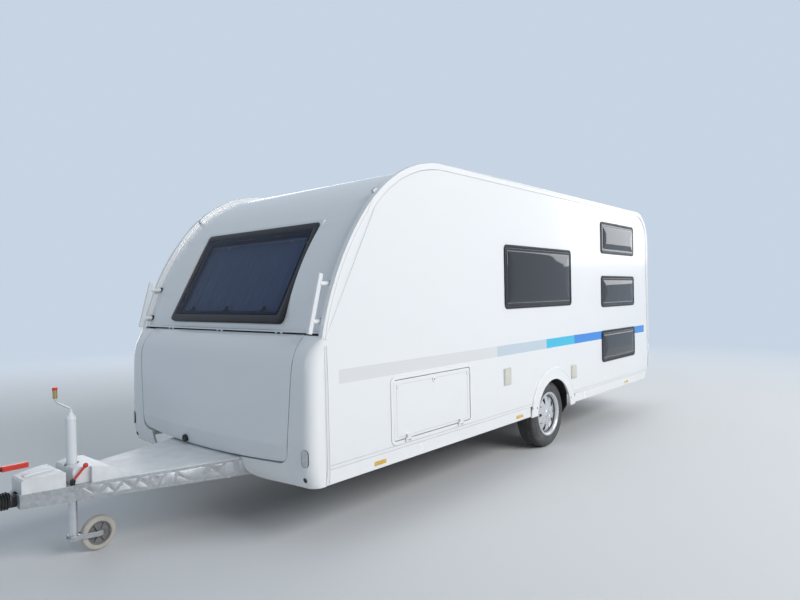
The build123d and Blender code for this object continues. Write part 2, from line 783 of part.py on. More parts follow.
# Front locker: a tub open to the front, with a flange that carries the corners
with BuildPart() as gas_locker:
    with BuildSketch(top_plane(FLOOR_Z)):
        with Locations(((LOCKER_BACK + LOCKER_FACE) / 2, 0)):
            Rectangle(LOCKER_FACE - LOCKER_BACK, 2 * WALL_IN)
    extrude(amount=LEDGE_Z - FLOOR_Z)
    with BuildSketch(cross_plane(LOCKER_FACE - LOCKER_SKIN)):
        for out in (1, -1):
            with Locations(
                (
                    out * (LOCKER_HALF + LOCKER_SKIN + WALL_IN) / 2,
                    (LEDGE_Z + FLOOR_Z + LOCKER_SKIN) / 2,
                )
            ):
                Rectangle(WALL_IN - LOCKER_HALF - LOCKER_SKIN, LEDGE_Z - FLOOR_Z - LOCKER_SKIN)
        with Locations((0, (LOCKER_TOP + LOCKER_SKIN + LEDGE_Z + 100) / 2)):
            Rectangle(2 * WALL_IN, LEDGE_Z + 100 - LOCKER_TOP - LOCKER_SKIN)
    extrude(amount=LOCKER_BACK - LOCKER_FACE, mode=Mode.SUBTRACT)
    with BuildSketch(cross_plane(LOCKER_BACK + LOCKER_SKIN)):
        with Locations((0, (FLOOR_Z + LOCKER_SKIN + LOCKER_TOP) / 2)):
            Rectangle(2 * LOCKER_HALF, LOCKER_TOP - FLOOR_Z - LOCKER_SKIN)
    extrude(amount=LOCKER_FACE - LOCKER_BACK, mode=Mode.SUBTRACT)
save(gas_locker, "gas_locker")


# Locker lid: height, margin to the caravan's side, forward at the middle, forward at its edges
LID_SECTIONS = [
    (LID_TOP_Z, LID_TOP_MARGIN, LID_HINGE_X, LID_HINGE_X - 2),
    (1250.0, 186.0, 3165.0, 3152.0),
    (1190.0, 182.0, 3200.0, 3184.0),
    (1100.0, 183.0, 3222.0, 3202.0),
    (600.0, 224.0, 3266.0, 3214.0),
    (545.0, 245.0, 3270.0, 3213.0),
    (500.0, 330.0, 3258.0, 3206.0),
]


def lid_half(height):
    """Half-width of the lid at a height, and below its foot that of its foot."""
    above = LID_SECTIONS[0]
    for section in LID_SECTIONS[1:]:
        if height >= section[0]:
            share = (height - section[0]) / (above[0] - section[0])
            return HALF - section[1] + share * (section[1] - above[1])
        above = section
    return HALF - above[1]


def curved_strip(half, middle, edge, thick):
    """Plan of a strip that bows forward: its outer arc, and the same arc moved back."""
    with BuildLine() as strip:
        outer = ThreePointArc((edge, -half), (middle, 0), (edge, half))
        inner = ThreePointArc((edge - thick, -half), (middle - thick, 0), (edge - thick, half))
        Line(outer @ 0, inner @ 0)
        Line(outer @ 1, inner @ 1)
    make_face(strip.edges())


with BuildPart() as locker_lid:
    for height, margin, middle, edge in LID_SECTIONS:
        with BuildSketch(top_plane(height)):
            curved_strip(HALF - margin, middle, edge, LID_SKIN)
    loft(ruled=True)
    for left in LID_HINGES:
        moving_hinge(lid_hinge_plane(left), LID_KNUCKLE_R, LID_PIN_R, 2 * MOVE_GAP, LID_PIN_R)
save(locker_lid, "locker_lid")


# Front corners beside the lid: height, forward
LID_GAP = 8.0
CORNER_SECTIONS = [
    (384.0, 3120.0),
    (412.0, 3163.0),
    (500.0, 3206.0),
    (545.0, 3213.0),
    (600.0, 3214.0),
    (1100.0, 3202.0),
    (1190.0, 3184.0),
    (1250.0, 3154.0),
    (1298.0, 3110.0),
]
CORNER_SKIN = 25.0
CORNER_LIP = 15.0
CORNER_R = 70.0
# side, distance of the inner end from the middle
VALANCES = [(1, 485.0), (-1, 780.0)]
VALANCE_MARGIN = 288.0
VALANCE_SWEEP = 28.0


def corner_plan(side, forward, inner):
    """Plan of a front corner: face, rounded edge, side and the lip back to the locker's flange."""
    back = WALL_FRONT + 2
    radius = min(CORNER_R, forward - back - 3)
    with BuildLine() as plan:
        face = Line((forward, side * inner), (forward, side * (HALF - radius)))
        turn = JernArc(face @ 1, (0, side), radius, side * 90)
        Polyline(
            turn @ 1,
            (back, side * HALF),
            (back, side * (HALF - CORNER_SKIN)),
            (forward - CORNER_SKIN, side * (HALF - radius - CORNER_SKIN)),
            (forward - CORNER_SKIN, side * (inner + CORNER_LIP)),
            (LOCKER_FACE, side * (inner + CORNER_LIP)),
            (LOCKER_FACE, side * inner),
            face @ 0,
        )
    make_face(plan.edges())


with BuildPart() as front_corners:
    for side in (1, -1):
        for pair in zip(CORNER_SECTIONS, CORNER_SECTIONS[1:]):
            for height, forward in pair:
                with BuildSketch(top_plane(height)):
                    corner_plan(side, forward, lid_half(height) + LID_GAP)
            loft(ruled=True)
    for side, end in VALANCES:
        with BuildSketch(top_plane(VALANCE_LOW)):
            with BuildLine():
                Polyline(
                    (VALANCE_X, side * end),
                    (VALANCE_X - VALANCE_SWEEP, side * (HALF - VALANCE_MARGIN)),
                    (VALANCE_X - VALANCE_SWEEP - CORNER_SKIN, side * (HALF - VALANCE_MARGIN)),
                    (VALANCE_X - CORNER_SKIN, side * end),
                    close=True,
                )
            make_face()
        extrude(amount=FLOOR_Z - VALANCE_LOW + 4)
save(front_corners, "front_corners")


# Side skirts below the walls, in front of and behind the wheel arches
with BuildPart() as side_skirts:
    with BuildSketch(side_plane(WALL_OUT)):
        with BuildLine():
            Polyline(
                (SKIRT_FRONT, SKIRT_Z),
                (SKIRT_FRONT, WALL_Z),
                (SPAT_R + 2, WALL_Z),
                (SPAT_R + 2, SKIRT_Z),
                close=True,
            )
        make_face()
        with BuildLine():
            Polyline(
                (-SPAT_R - 2, SKIRT_Z),
                (-SPAT_R - 2, WALL_Z),
                (-SKIRT_REAR, WALL_Z),
                (70 - SKIRT_REAR, SKIRT_Z),
                close=True,
            )
        make_face()
    extrude(amount=SKIRT)
    both_sides()
save(side_skirts, "side_skirts")


# Mouldings round the wheel arches
with BuildPart() as wheel_spats:
    with BuildSketch(side_plane(WALL_OUT + SPAT_PROUD)):
        with Locations((0, SPAT_Z)):
            Circle(SPAT_R)
            Circle(SPAT_IN_R, mode=Mode.SUBTRACT)
        with Locations((0, SPAT_LOW - SPAT_R)):
            Rectangle(3 * SPAT_R, 2 * SPAT_R, mode=Mode.SUBTRACT)
    extrude(amount=SPAT_PROUD)
    both_sides()
save(wheel_spats, "wheel_spats")


# Window frames, panes and the blinds behind them
with BuildPart() as window_frames:
    for window in WINDOWS:
        side = window["side"]
        for out, edge, back in (
            (WALL_OUT + FRAME_PROUD, 0, FRAME_PROUD),
            (WALL_OUT, FRAME_WIDTH / 2, WALL),
        ):
            with BuildSketch(side_plane(side * out)):
                window_sketch(window, edge, FRAME_R - edge)
                with BuildSketch(mode=Mode.SUBTRACT):
                    window_sketch(window, FRAME_WIDTH, FRAME_R - FRAME_WIDTH)
            extrude(amount=side * back)
    for low, high, inset in (
        (-FRONT_FRAME, 0, 0),
        (-FRONT_FRAME - WALL, -FRONT_FRAME, FRONT_BORDER / 2),
    ):
        with BuildSketch(window_plane.offset(low)):
            RectangleRounded(
                2 * (FRONT_WINDOW_HALF - inset), window_height - 2 * inset, FRONT_WINDOW_R - inset
            )
            RectangleRounded(
                2 * (FRONT_WINDOW_HALF - FRONT_BORDER),
                window_height - 2 * FRONT_BORDER,
                FRONT_WINDOW_R - FRONT_BORDER,
                mode=Mode.SUBTRACT,
            )
        extrude(amount=high - low)
save(window_frames, "window_frames")

with BuildPart() as window_panes:
    for window in WINDOWS:
        side = window["side"]
        with BuildSketch(side_plane(side * (WALL_OUT + PANE_PROUD))):
            window_sketch(window, FRAME_WIDTH, FRAME_R - FRAME_WIDTH)
        extrude(amount=side * PANE)
    with BuildSketch(window_plane.offset(FRONT_FRAME / 3)):
        RectangleRounded(
            2 * (FRONT_WINDOW_HALF - FRONT_BORDER),
            window_height - 2 * FRONT_BORDER,
            FRONT_WINDOW_R - FRONT_BORDER,
        )
    extrude(amount=-PANE)
save(window_panes, "window_panes")

BLIND = 3.0
with BuildPart() as blinds:
    for window in WINDOWS:
        side = window["side"]
        with BuildSketch(side_plane(side * WALL_IN)):
            window_sketch(window, 0, FRAME_R)
        extrude(amount=side * BLIND)
    with BuildSketch(window_plane.offset(-FRONT_FRAME - WALL)):
        Rectangle(
            2 * FRONT_WINDOW_HALF - FRONT_BORDER - 2 * BLIND,
            window_height - FRONT_BORDER - 2 * BLIND,
        )
    extrude(amount=-BLIND)
save(blinds, "blinds")


# Doors in the sides: each has a frame round it and hinges along one edge
def hinge_planes(opening, edge, margin, count):
    """Evenly spaced hinge axes of a door: x towards the door, y outward, z along the axis."""
    out = opening["side"] * (WALL_OUT + HINGE_OUT)
    start, end = ("rear", "front") if edge == "low" else ("low", "high")
    step = (opening[end] - opening[start] - 2 * margin) / (count - 1)
    planes = []
    for index in range(count):
        place = opening[start] + margin + index * step
        if edge == "low":
            origin = (AXLE_X + place, out, opening["low"] + HINGE_IN)
            toward = (0, 0, 1)
            along = (-opening["side"], 0, 0)
        else:
            origin = (AXLE_X + opening["front"] - HINGE_IN, out, place)
            toward = (-1, 0, 0)
            along = (0, 0, -opening["side"])
        planes.append(Plane(origin=origin, x_dir=toward, z_dir=along))
    return planes


DOOR_HINGES = {
    "hatch": hinge_planes(OPENINGS["hatch"], "low", 150.0, 2),
    "cassette": hinge_planes(OPENINGS["cassette"], "low", 80.0, 2),
    "entrance": hinge_planes(OPENINGS["entrance"], "front", 185.0, 3),
}
LEAF = 16.0

with BuildPart() as opening_frames:
    for name, opening in OPENINGS.items():
        side = opening["side"]
        with BuildSketch(side_plane(side * (WALL_OUT + TRIM_PROUD))):
            opening_sketch(opening, OPENING_FRAME)
            with BuildSketch(mode=Mode.SUBTRACT):
                opening_sketch(opening, 0)
        extrude(amount=side * TRIM_PROUD)
        for plane in DOOR_HINGES[name]:
            fixed_hinge(plane, KNUCKLE_R, PIN_R, LEAF, HINGE_OUT - TRIM_PROUD)
save(opening_frames, "opening_frames")

DOOR_WINDOW_MARGIN = 230.0
DOOR_WINDOW = {
    "side": -1,
    "rear": OPENINGS["entrance"]["rear"] + 110.0,
    "front": OPENINGS["entrance"]["front"] - 124.0,
    "low": OPENINGS["entrance"]["high"] - DOOR_WINDOW_MARGIN - 640.0,
    "high": OPENINGS["entrance"]["high"] - DOOR_WINDOW_MARGIN,
}
for name, opening in OPENINGS.items():
    side = opening["side"]
    with BuildPart() as door:
        with BuildSketch(side_plane(side * (WALL_OUT + DOOR_PROUD))):
            opening_sketch(opening, -MOVE_GAP)
            if name == "entrance":
                with BuildSketch(mode=Mode.SUBTRACT):
                    window_sketch(DOOR_WINDOW, 0, FRAME_R)
        extrude(amount=side * DOOR)
        for plane in DOOR_HINGES[name]:
            moving_hinge(plane, KNUCKLE_R, PIN_R, 2 * LEAF, HINGE_OUT - DOOR_PROUD)
    save(door, f"{name}_door")

with BuildPart() as door_window:
    with BuildSketch(side_plane(-WALL_OUT - 2 * DOOR_PROUD)):
        window_sketch(DOOR_WINDOW, 0, FRAME_R)
    extrude(amount=-DOOR / 2)
save(door_window, "door_window")


# Rear bumper between and behind the side walls
BUMPER_X = 2795.0
with BuildPart() as rear_bumper:
    with BuildSketch(side_plane(WALL_IN)):
        with BuildLine():
            Polyline(
                (ROOF_DROP - REAR_FACE, 900),
                (10 - BUMPER_X, 890),
                (-BUMPER_X, 870),
                (-BUMPER_X, 560),
                (25 - BUMPER_X, 470),
                (100 - BUMPER_X, 415),
                (120 - BUMPER_X, WALL_Z),
                (ROOF_DROP - REAR_FACE, WALL_Z),
                close=True,
            )
        make_face()
    extrude(amount=2 * WALL_IN)
    with BuildSketch(top_plane(540)):
        for out in (1, -1):
            with Locations((-(BUMPER_X + REAR_FACE - WALL_INSET) / 2, out * (HALF + WALL_IN - 10) / 2)):
                Rectangle(BUMPER_X - REAR_FACE + WALL_INSET, HALF - WALL_IN + 10)
    extrude(amount=REAR_TUCK_Z - 540)
save(rear_bumper, "rear_bumper")


# Lamps: rear clusters, front markers, upper markers and side reflectors
SIDE_REFLECTORS = [2583.0, 688.0, -1962.0]
REAR_LAMP_MARGIN = 220.0
MARKER_X = 3206.8
MARKER_MARGIN = 51.4
MARKER_Z = 578.0
MARKER_TURN = 16.8
MARKER_SUNK = 3.0
UPPER_MARKER_LEAN = 49.0
UPPER_MARKER_MARGIN = 55.0
UPPER_MARKER_HEIGHT = 56.0
with BuildPart() as lamps:
    with BuildSketch(cross_plane(-REAR_REACH)):
        with Locations((HALF - REAR_LAMP_MARGIN, 690)):
            RectangleRounded(260, 160, 20)
    extrude(amount=REAR_REACH - BUMPER_X)
    marker_face = Plane(
        origin=(AXLE_X + MARKER_X, HALF - MARKER_MARGIN, MARKER_Z),
        x_dir=(-sin(radians(MARKER_TURN)), cos(radians(MARKER_TURN)), 0),
        z_dir=(cos(radians(MARKER_TURN)), sin(radians(MARKER_TURN)), 0),
    )
    with BuildSketch(marker_face.offset(-MARKER_SUNK)):
        RectangleRounded(50, 106, 12)
    extrude(amount=8 + MARKER_SUNK)
    add(front_corners.part, mode=Mode.SUBTRACT)
    with BuildSketch(side_plane(WALL_OUT + 4)):
        for forward in SIDE_REFLECTORS:
            with Locations((forward, 426)):
                Rectangle(116, 28)
    extrude(amount=4)
    marker_x, marker_z = crown_point(UPPER_MARKER_LEAN, ROOF_DROP)
    marker_out = (cos(radians(UPPER_MARKER_LEAN)), 0, sin(radians(UPPER_MARKER_LEAN)))
    with BuildSketch(
        Plane(
            origin=(AXLE_X + marker_x, HALF - UPPER_MARKER_MARGIN, marker_z),
            x_dir=(0, 1, 0),
            z_dir=marker_out,
        )
    ):
        RectangleRounded(28, 44, 8)
    extrude(amount=UPPER_MARKER_HEIGHT)
    both_sides()
save(lamps, "lamps")


# Grab handles on the front and rear corners
def bar(path_points, radius):
    """A round bar along straight runs."""
    for start, end in zip(path_points, path_points[1:]):
        run = tuple(e - s for s, e in zip(start, end))
        length = sqrt(sum(step**2 for step in run))
        with BuildSketch(Plane(origin=start, z_dir=run)) as ring:
            Circle(radius)
        extrude(ring.sketch, amount=length)
    for point in path_points[1:-1]:
        with Locations(point):
            Sphere(radius)


HANDLE_MARGIN = 65.0
HANDLE_Y = HALF - HANDLE_MARGIN
HANDLE_R = 8.0
# Ends of the front handles' flat bars: forward, height; heights of their stand-offs
HANDLE_LOW = (3146.0, 1336.0)
HANDLE_HIGH = (3043.0, 1716.0)
HANDLE_FEET = [1412.0, 1650.0]
HANDLE_BAR = 25.0
HANDLE_FOOT_R = 13.0
with BuildPart() as grab_handles:
    handle_rise = HANDLE_HIGH[1] - HANDLE_LOW[1]
    handle_back = HANDLE_LOW[0] - HANDLE_HIGH[0]
    with BuildSketch(
        Plane(
            origin=(AXLE_X + HANDLE_LOW[0], HANDLE_Y, HANDLE_LOW[1]),
            x_dir=(0, 1, 0),
            z_dir=(-handle_back, 0, handle_rise),
        )
    ):
        RectangleRounded(HANDLE_BAR, HANDLE_BAR, 6)
    extrude(amount=hypot(handle_rise, handle_back))
    for height in HANDLE_FEET:
        reach = HANDLE_LOW[0] - handle_back * (height - HANDLE_LOW[1]) / handle_rise
        foot = front_face(height, ROOF_DROP) - 2 * HANDLE_FOOT_R
        with BuildSketch(cross_plane(foot)):
            with Locations((HANDLE_Y, height)):
                Circle(HANDLE_FOOT_R)
        extrude(amount=reach - foot)
    with BuildSketch(side_plane(WALL_IN)):
        body_outline(ROOF_DROP, [(2500, REAR_TUCK_Z)], [(-2500, REAR_TUCK_Z)])
    extrude(amount=2 * WALL_IN, mode=Mode.SUBTRACT)
    bar(
        [
            (AXLE_X + ROOF_DROP - REAR_FACE, HANDLE_Y - 40, 1000),
            (AXLE_X - REAR_FACE - 3, HANDLE_Y - 40, 1000),
            (AXLE_X - REAR_FACE - 3, HANDLE_Y - 40, 1300),
            (AXLE_X + ROOF_DROP - REAR_FACE, HANDLE_Y - 40, 1300),
        ],
        HANDLE_R,
    )
    both_sides()
save(grab_handles, "grab_handles")


# Covers and vents on the side walls
WALL_COVERS = [
    {"side": 1, "rear": 828.0, "front": 956.0, "low": 740.0, "high": 896.0, "round": 12.0},
    {"side": 1, "rear": -535.0, "front": -399.0, "low": 641.0, "high": 788.0, "round": 12.0},
    {"side": -1, "rear": -1330.0, "front": -880.0, "low": 780.0, "high": 950.0, "round": 12.0},
    {"side": -1, "rear": -1330.0, "front": -880.0, "low": 1420.0, "high": 1590.0, "round": 12.0},
]
COVER = 12.0
with BuildPart() as wall_covers:
    for cover in WALL_COVERS:
        side = cover["side"]
        with BuildSketch(side_plane(side * (WALL_OUT + COVER))):
            opening_sketch(cover, 0)
        extrude(amount=side * COVER)
save(wall_covers, "wall_covers")


# Overrun housing, coupling shaft and coupling head with its socket for a 50 mm ball
HOUSING_X = 4395.0
SHAFT_R = 25.0
SHAFT_Z = 440.0
BALL_X = 4762.0
BALL_Z = 430.0
SOCKET_R = 25.25
SOCKET_DEPTH = 24.0
HOUSING_LOW = 400.0
HOUSING_TOP = 469.0
HOUSING_NECK = 30.0
with BuildPart() as coupling_head:
    with BuildSketch(top_plane(HOUSING_LOW)):
        with BuildLine():
            Polyline(
                (HOUSING_X, beam_inner(HOUSING_X)),
                (BEAM_NOSE_X, beam_inner(BEAM_NOSE_X)),
                (BEAM_NOSE_X, HOUSING_NECK),
                (BEAM_NOSE_X + 30, HOUSING_NECK),
                (BEAM_NOSE_X + 30, -HOUSING_NECK),
                (BEAM_NOSE_X, -HOUSING_NECK),
                (BEAM_NOSE_X, -beam_inner(BEAM_NOSE_X)),
                (HOUSING_X, -beam_inner(HOUSING_X)),
                close=True,
            )
        make_face()
    extrude(amount=HOUSING_TOP - HOUSING_LOW)
    with BuildSketch(cross_plane(BEAM_NOSE_X)):
        with Locations((0, SHAFT_Z)):
            Circle(SHAFT_R)
    extrude(amount=180)
    with BuildSketch(side_plane(55)):
        with BuildLine():
            Polyline(
                (4575, 405),
                (4575, 475),
                (4690, 500),
                (4790, 492),
                (4830, 470),
                (NOSE_REACH, 440),
                (NOSE_REACH, 405),
                close=True,
            )
        make_face()
    extrude(amount=110)
    with BuildSketch(top_plane(BALL_Z - SOCKET_DEPTH - 1)):
        with Locations((BALL_X, 0)):
            Circle(SOCKET_R)
    extrude(amount=SOCKET_DEPTH + 1, mode=Mode.SUBTRACT)
    with Locations((AXLE_X + BALL_X, 0, BALL_Z)):
        Sphere(SOCKET_R, mode=Mode.SUBTRACT)
save(coupling_head, "coupling_head")


# Ribbed gaiter round the coupling shaft
GAITER_RIBS = 5
GAITER_START = BEAM_NOSE_X + 32
GAITER_END = 4573.0
GAITER_R = 52.0
with BuildPart() as gaiter:
    rib = (GAITER_END - GAITER_START) / GAITER_RIBS
    profile = [(GAITER_START, SHAFT_R + SLIDE_PLAY)]
    for index in range(GAITER_RIBS):
        profile.append((GAITER_START + index * rib, GAITER_R - 14))
        profile.append((GAITER_START + (index + 0.5) * rib, GAITER_R))
    profile.append((GAITER_END, GAITER_R - 14))
    profile.append((GAITER_END, SHAFT_R + SLIDE_PLAY))
    with BuildSketch(Plane(origin=(AXLE_X, 0, SHAFT_Z), x_dir=(1, 0, 0), z_dir=(0, -1, 0))):
        with BuildLine():
            Polyline(*profile, close=True)
        make_face()
    revolve(axis=Axis((AXLE_X, 0, SHAFT_Z), (1, 0, 0)))
save(gaiter, "gaiter")


# Coupling lever, and the handbrake lever in its bracket on the left beam
BRAKE_FOOT = (4184.0, 503.0)
BRAKE_TIP = (4118.0, 589.0)
BRAKE_SETBACK = 15.0
BRAKE_BRACKET = 24.0
with BuildPart() as hand_levers:
    with BuildSketch(side_plane(18)):
        with BuildLine():
            Polyline(
                (4696, 500),
                (4716, 500),
                (4640, 596),
                (4520, 640),
                (4370, 640),
                (4370, 612),
                (4515, 612),
                (4620, 575),
                close=True,
            )
        make_face()
    extrude(amount=36)
    brake = [
        (AXLE_X + forward, beam_outer(forward) - BRAKE_SETBACK, height)
        for forward, height in (BRAKE_FOOT, BRAKE_TIP)
    ]
    bar(brake, 8)
    with Locations(brake[1]):
        Sphere(15)
    with BuildSketch(top_plane(beam_top(BRAKE_FOOT[0] - BRAKE_BRACKET / 2))):
        with Locations((BRAKE_FOOT[0], brake[0][1])):
            Rectangle(BRAKE_BRACKET, 16)
    extrude(amount=34)
save(hand_levers, "hand_levers")


# Drawbar cover: a flat deck over the beams and two raised covers, before and round the jack
DECK = 6.0
DECK_FRONT = 4120.0
DECK_REAR = 3052.0
# Each raised cover's upper profile (forward, height) and plan (forward, margin inside the beams)
RAISED_COVERS = [
    (
        [(4434, 545), (4424, 556), (4340, 565), (4232, 569), (4222, 566)],
        [(4436, 1), (4220, 1)],
    ),
    (
        [(4178, 560), (4170, 572), (4100, 579), (4040, 570), (3975, 556), (3925, 512), (3905, 491)],
        [(4180, 32), (4090, 32), (4090, 4), (3900, 4)],
    ),
]


def raised_cover(profile, plan):
    """Cover that stands on the beams' upper edges and follows them in plan."""
    front, rear = profile[0][0], profile[-1][0]
    base = [(forward, beam_top(forward)) for forward in (rear, max(rear, BEAM_TURN_X), front)]
    if rear > BEAM_TURN_X:
        base = [base[0], base[2]]
    with BuildPart() as block:
        with BuildSketch(side_plane(HALF)) as side_view:
            with BuildLine() as edge:
                Polyline(*profile, *base, close=True)
            make_face(edge.edges())
        extrude(side_view.sketch, amount=2 * HALF)
        left = [(forward, beam_outer(forward) - margin) for forward, margin in plan]
        right = [(forward, -across) for forward, across in reversed(left)]
        with BuildSketch(top_plane(0)) as top_view:
            with BuildLine() as edge:
                Polyline(*left, *right, close=True)
            make_face(edge.edges())
        extrude(top_view.sketch, amount=2 * FLOOR_Z, mode=Mode.INTERSECT)
    return block.part


with BuildPart() as drawbar_cover:
    with BuildSketch(top_plane(FLOOR_Z)):
        with BuildLine():
            Polyline(
                (DECK_FRONT, beam_outer(DECK_FRONT) - 50),
                (3900, beam_outer(3900) - 4),
                (DECK_REAR, beam_outer(DECK_REAR) - 4),
                (DECK_REAR, 4 - beam_outer(DECK_REAR)),
                (3900, 4 - beam_outer(3900)),
                (DECK_FRONT, 50 - beam_outer(DECK_FRONT)),
                close=True,
            )
        make_face()
    extrude(amount=DECK)
    for profile, plan in RAISED_COVERS:
        add(raised_cover(profile, plan))
    with BuildSketch(top_plane(BEAM_NOSE_TOP)):
        with Locations((JACK_X, 0)):
            Circle(JACK_R + 12)
    extrude(amount=200, mode=Mode.SUBTRACT)
save(drawbar_cover, "drawbar_cover")


# Jack: outer tube with its crank, clamp across the beams, leg, fork and wheel
CRANK_R = 7.0
with BuildPart() as jack_tube:
    with BuildSketch(top_plane(JACK_LOW)):
        with Locations((JACK_X, 0)):
            Circle(JACK_R)
            Circle(LEG_R + SLIDE_PLAY, mode=Mode.SUBTRACT)
    extrude(amount=JACK_TOP - JACK_LOW)
    with BuildSketch(top_plane(JACK_TOP)):
        with Locations((JACK_X, 0)):
            Circle(JACK_R)
    extrude(amount=40, taper=20)
    bar(
        [
            (AXLE_X + JACK_X, 0, 878),
            (AXLE_X + JACK_X, 0, 905),
            (AXLE_X + 4218, 0, 971),
            (AXLE_X + 4218, 0, 1045),
        ],
        CRANK_R,
    )
    with BuildSketch(top_plane(985)):
        with Locations((4218, 0)):
            Circle(15)
    extrude(amount=68)
save(jack_tube, "jack_tube")

CLAMP_Z = 455.0
CLAMP_BAR = 20.0
with BuildPart() as jack_clamp:
    with BuildSketch(top_plane(CLAMP_Z)):
        with BuildLine():
            Polyline(
                (JACK_X + 20, beam_inner(JACK_X + 20)),
                (JACK_X + 20, -beam_inner(JACK_X + 20)),
                (JACK_X - 20, -beam_inner(JACK_X - 20)),
                (JACK_X - 20, beam_inner(JACK_X - 20)),
                close=True,
            )
        make_face()
    extrude(amount=CLAMP_BAR)
    with BuildSketch(top_plane(CLAMP_Z)):
        with Locations((JACK_X, 0)):
            Circle(JACK_R + 9)
    extrude(amount=50)
    with BuildSketch(top_plane(CLAMP_Z - 1)):
        with Locations((JACK_X, 0)):
            Circle(JACK_R + 0.1)
    extrude(amount=60, mode=Mode.SUBTRACT)
save(jack_clamp, "jack_clamp")

STEM_R = 10.0
FORK_Z = LEG_LOW - SEAT_GAP
FORK_HALF = CASTER_WIDTH / 2 + MOVE_GAP
with BuildPart() as jack_leg:
    with BuildSketch(top_plane(LEG_LOW)):
        with Locations((JACK_X, 0)):
            Circle(LEG_R)
            Circle(STEM_R + PIN_PLAY, mode=Mode.SUBTRACT)
    extrude(amount=60)
    with BuildSketch(top_plane(LEG_LOW + 60)):
        with Locations((JACK_X, 0)):
            Circle(LEG_R)
            Circle(LEG_R - 5, mode=Mode.SUBTRACT)
    extrude(amount=LEG_TOP - LEG_LOW - 60)
save(jack_leg, "jack_leg")

caster_x = JACK_X - CASTER_TRAIL
CASTER_PIN_R = 7.0
with BuildPart() as jockey_fork:
    with BuildSketch(top_plane(FORK_Z)):
        with Locations((JACK_X, 0)):
            Rectangle(60, 2 * (FORK_HALF + FORK_PLATE))
    extrude(amount=-FORK_PLATE)
    with BuildSketch(top_plane(FORK_Z)):
        with Locations((JACK_X, 0)):
            Circle(STEM_R)
    extrude(amount=56)
    for out in (FORK_HALF + FORK_PLATE, -FORK_HALF):
        with BuildSketch(side_plane(out)):
            with BuildLine():
                Polyline(
                    (JACK_X + 30, FORK_Z),
                    (JACK_X - 30, FORK_Z),
                    (caster_x - 16, CASTER_R + 14),
                    (caster_x - 16, CASTER_R - 14),
                    (caster_x + 16, CASTER_R - 16),
                    (JACK_X + 30, FORK_Z - 26),
                    close=True,
                )
            make_face()
        extrude(amount=FORK_PLATE)
    barrel(
        Plane(origin=(AXLE_X + caster_x, 0, CASTER_R), z_dir=(0, 1, 0)),
        0,
        2 * FORK_HALF + FORK_PLATE,
        CASTER_PIN_R,
    )
save(jockey_fork, "jockey_fork")

with BuildPart() as jockey_wheel:
    with BuildSketch(Plane(origin=(AXLE_X + caster_x, 0, CASTER_R), x_dir=(0, 1, 0), z_dir=(1, 0, 0))):
        with BuildLine():
            Polyline(
                (-30, CASTER_PIN_R + PIN_PLAY),
                (-30, 22),
                (-18, 26),
                (-18, 70),
                (-CASTER_WIDTH / 2, 78),
                (-CASTER_WIDTH / 2, CASTER_R - 10),
                (-CASTER_WIDTH / 2 + 8, CASTER_R),
                (CASTER_WIDTH / 2 - 8, CASTER_R),
                (CASTER_WIDTH / 2, CASTER_R - 10),
                (CASTER_WIDTH / 2, 78),
                (18, 70),
                (18, 26),
                (30, 22),
                (30, CASTER_PIN_R + PIN_PLAY),
                close=True,
            )
        make_face()
    revolve(axis=Axis((AXLE_X + caster_x, 0, CASTER_R), (0, 1, 0)))
save(jockey_wheel, "jockey_wheel")


# Corner steadies, stowed level under the floor
for label, forward, way in STEADIES:
    for side, side_name in ((1, "left"), (-1, "right")):
        with BuildPart() as steady:
            with BuildSketch(side_plane(side * STEADY_Y + STEADY_WIDTH / 2)):
                with BuildLine():
                    Polyline(
                        (forward - way * 18, STEADY_PIVOT_Z - 12),
                        (forward - way * 18, STEADY_PIVOT_Z + 14),
                        (forward + way * 20, STEADY_PIVOT_Z + 22),
                        (forward + way * STEADY_LEG, STEADY_PIVOT_Z + 10),
                        (forward + way * STEADY_LEG, STEADY_PIVOT_Z - 14),
                        (forward + way * 20, STEADY_PIVOT_Z - 20),
                        close=True,
                    )
                make_face()
                with Locations((forward, STEADY_PIVOT_Z)):
                    Circle(STEADY_PIN_R + PIN_PLAY, mode=Mode.SUBTRACT)
            extrude(amount=STEADY_WIDTH)
        save(steady, f"steady_{label}_{side_name}")
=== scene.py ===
"""Travel caravan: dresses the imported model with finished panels, windows, wheels and a studio."""

from functools import partialmethod
import json
from math import asin, cos, pi, radians, sin, tau
import bmesh
import bpy
from bpy.props import FloatProperty, FloatVectorProperty, IntProperty, PointerProperty
from mathutils import Matrix, Vector
from mathutils.bvhtree import BVHTree


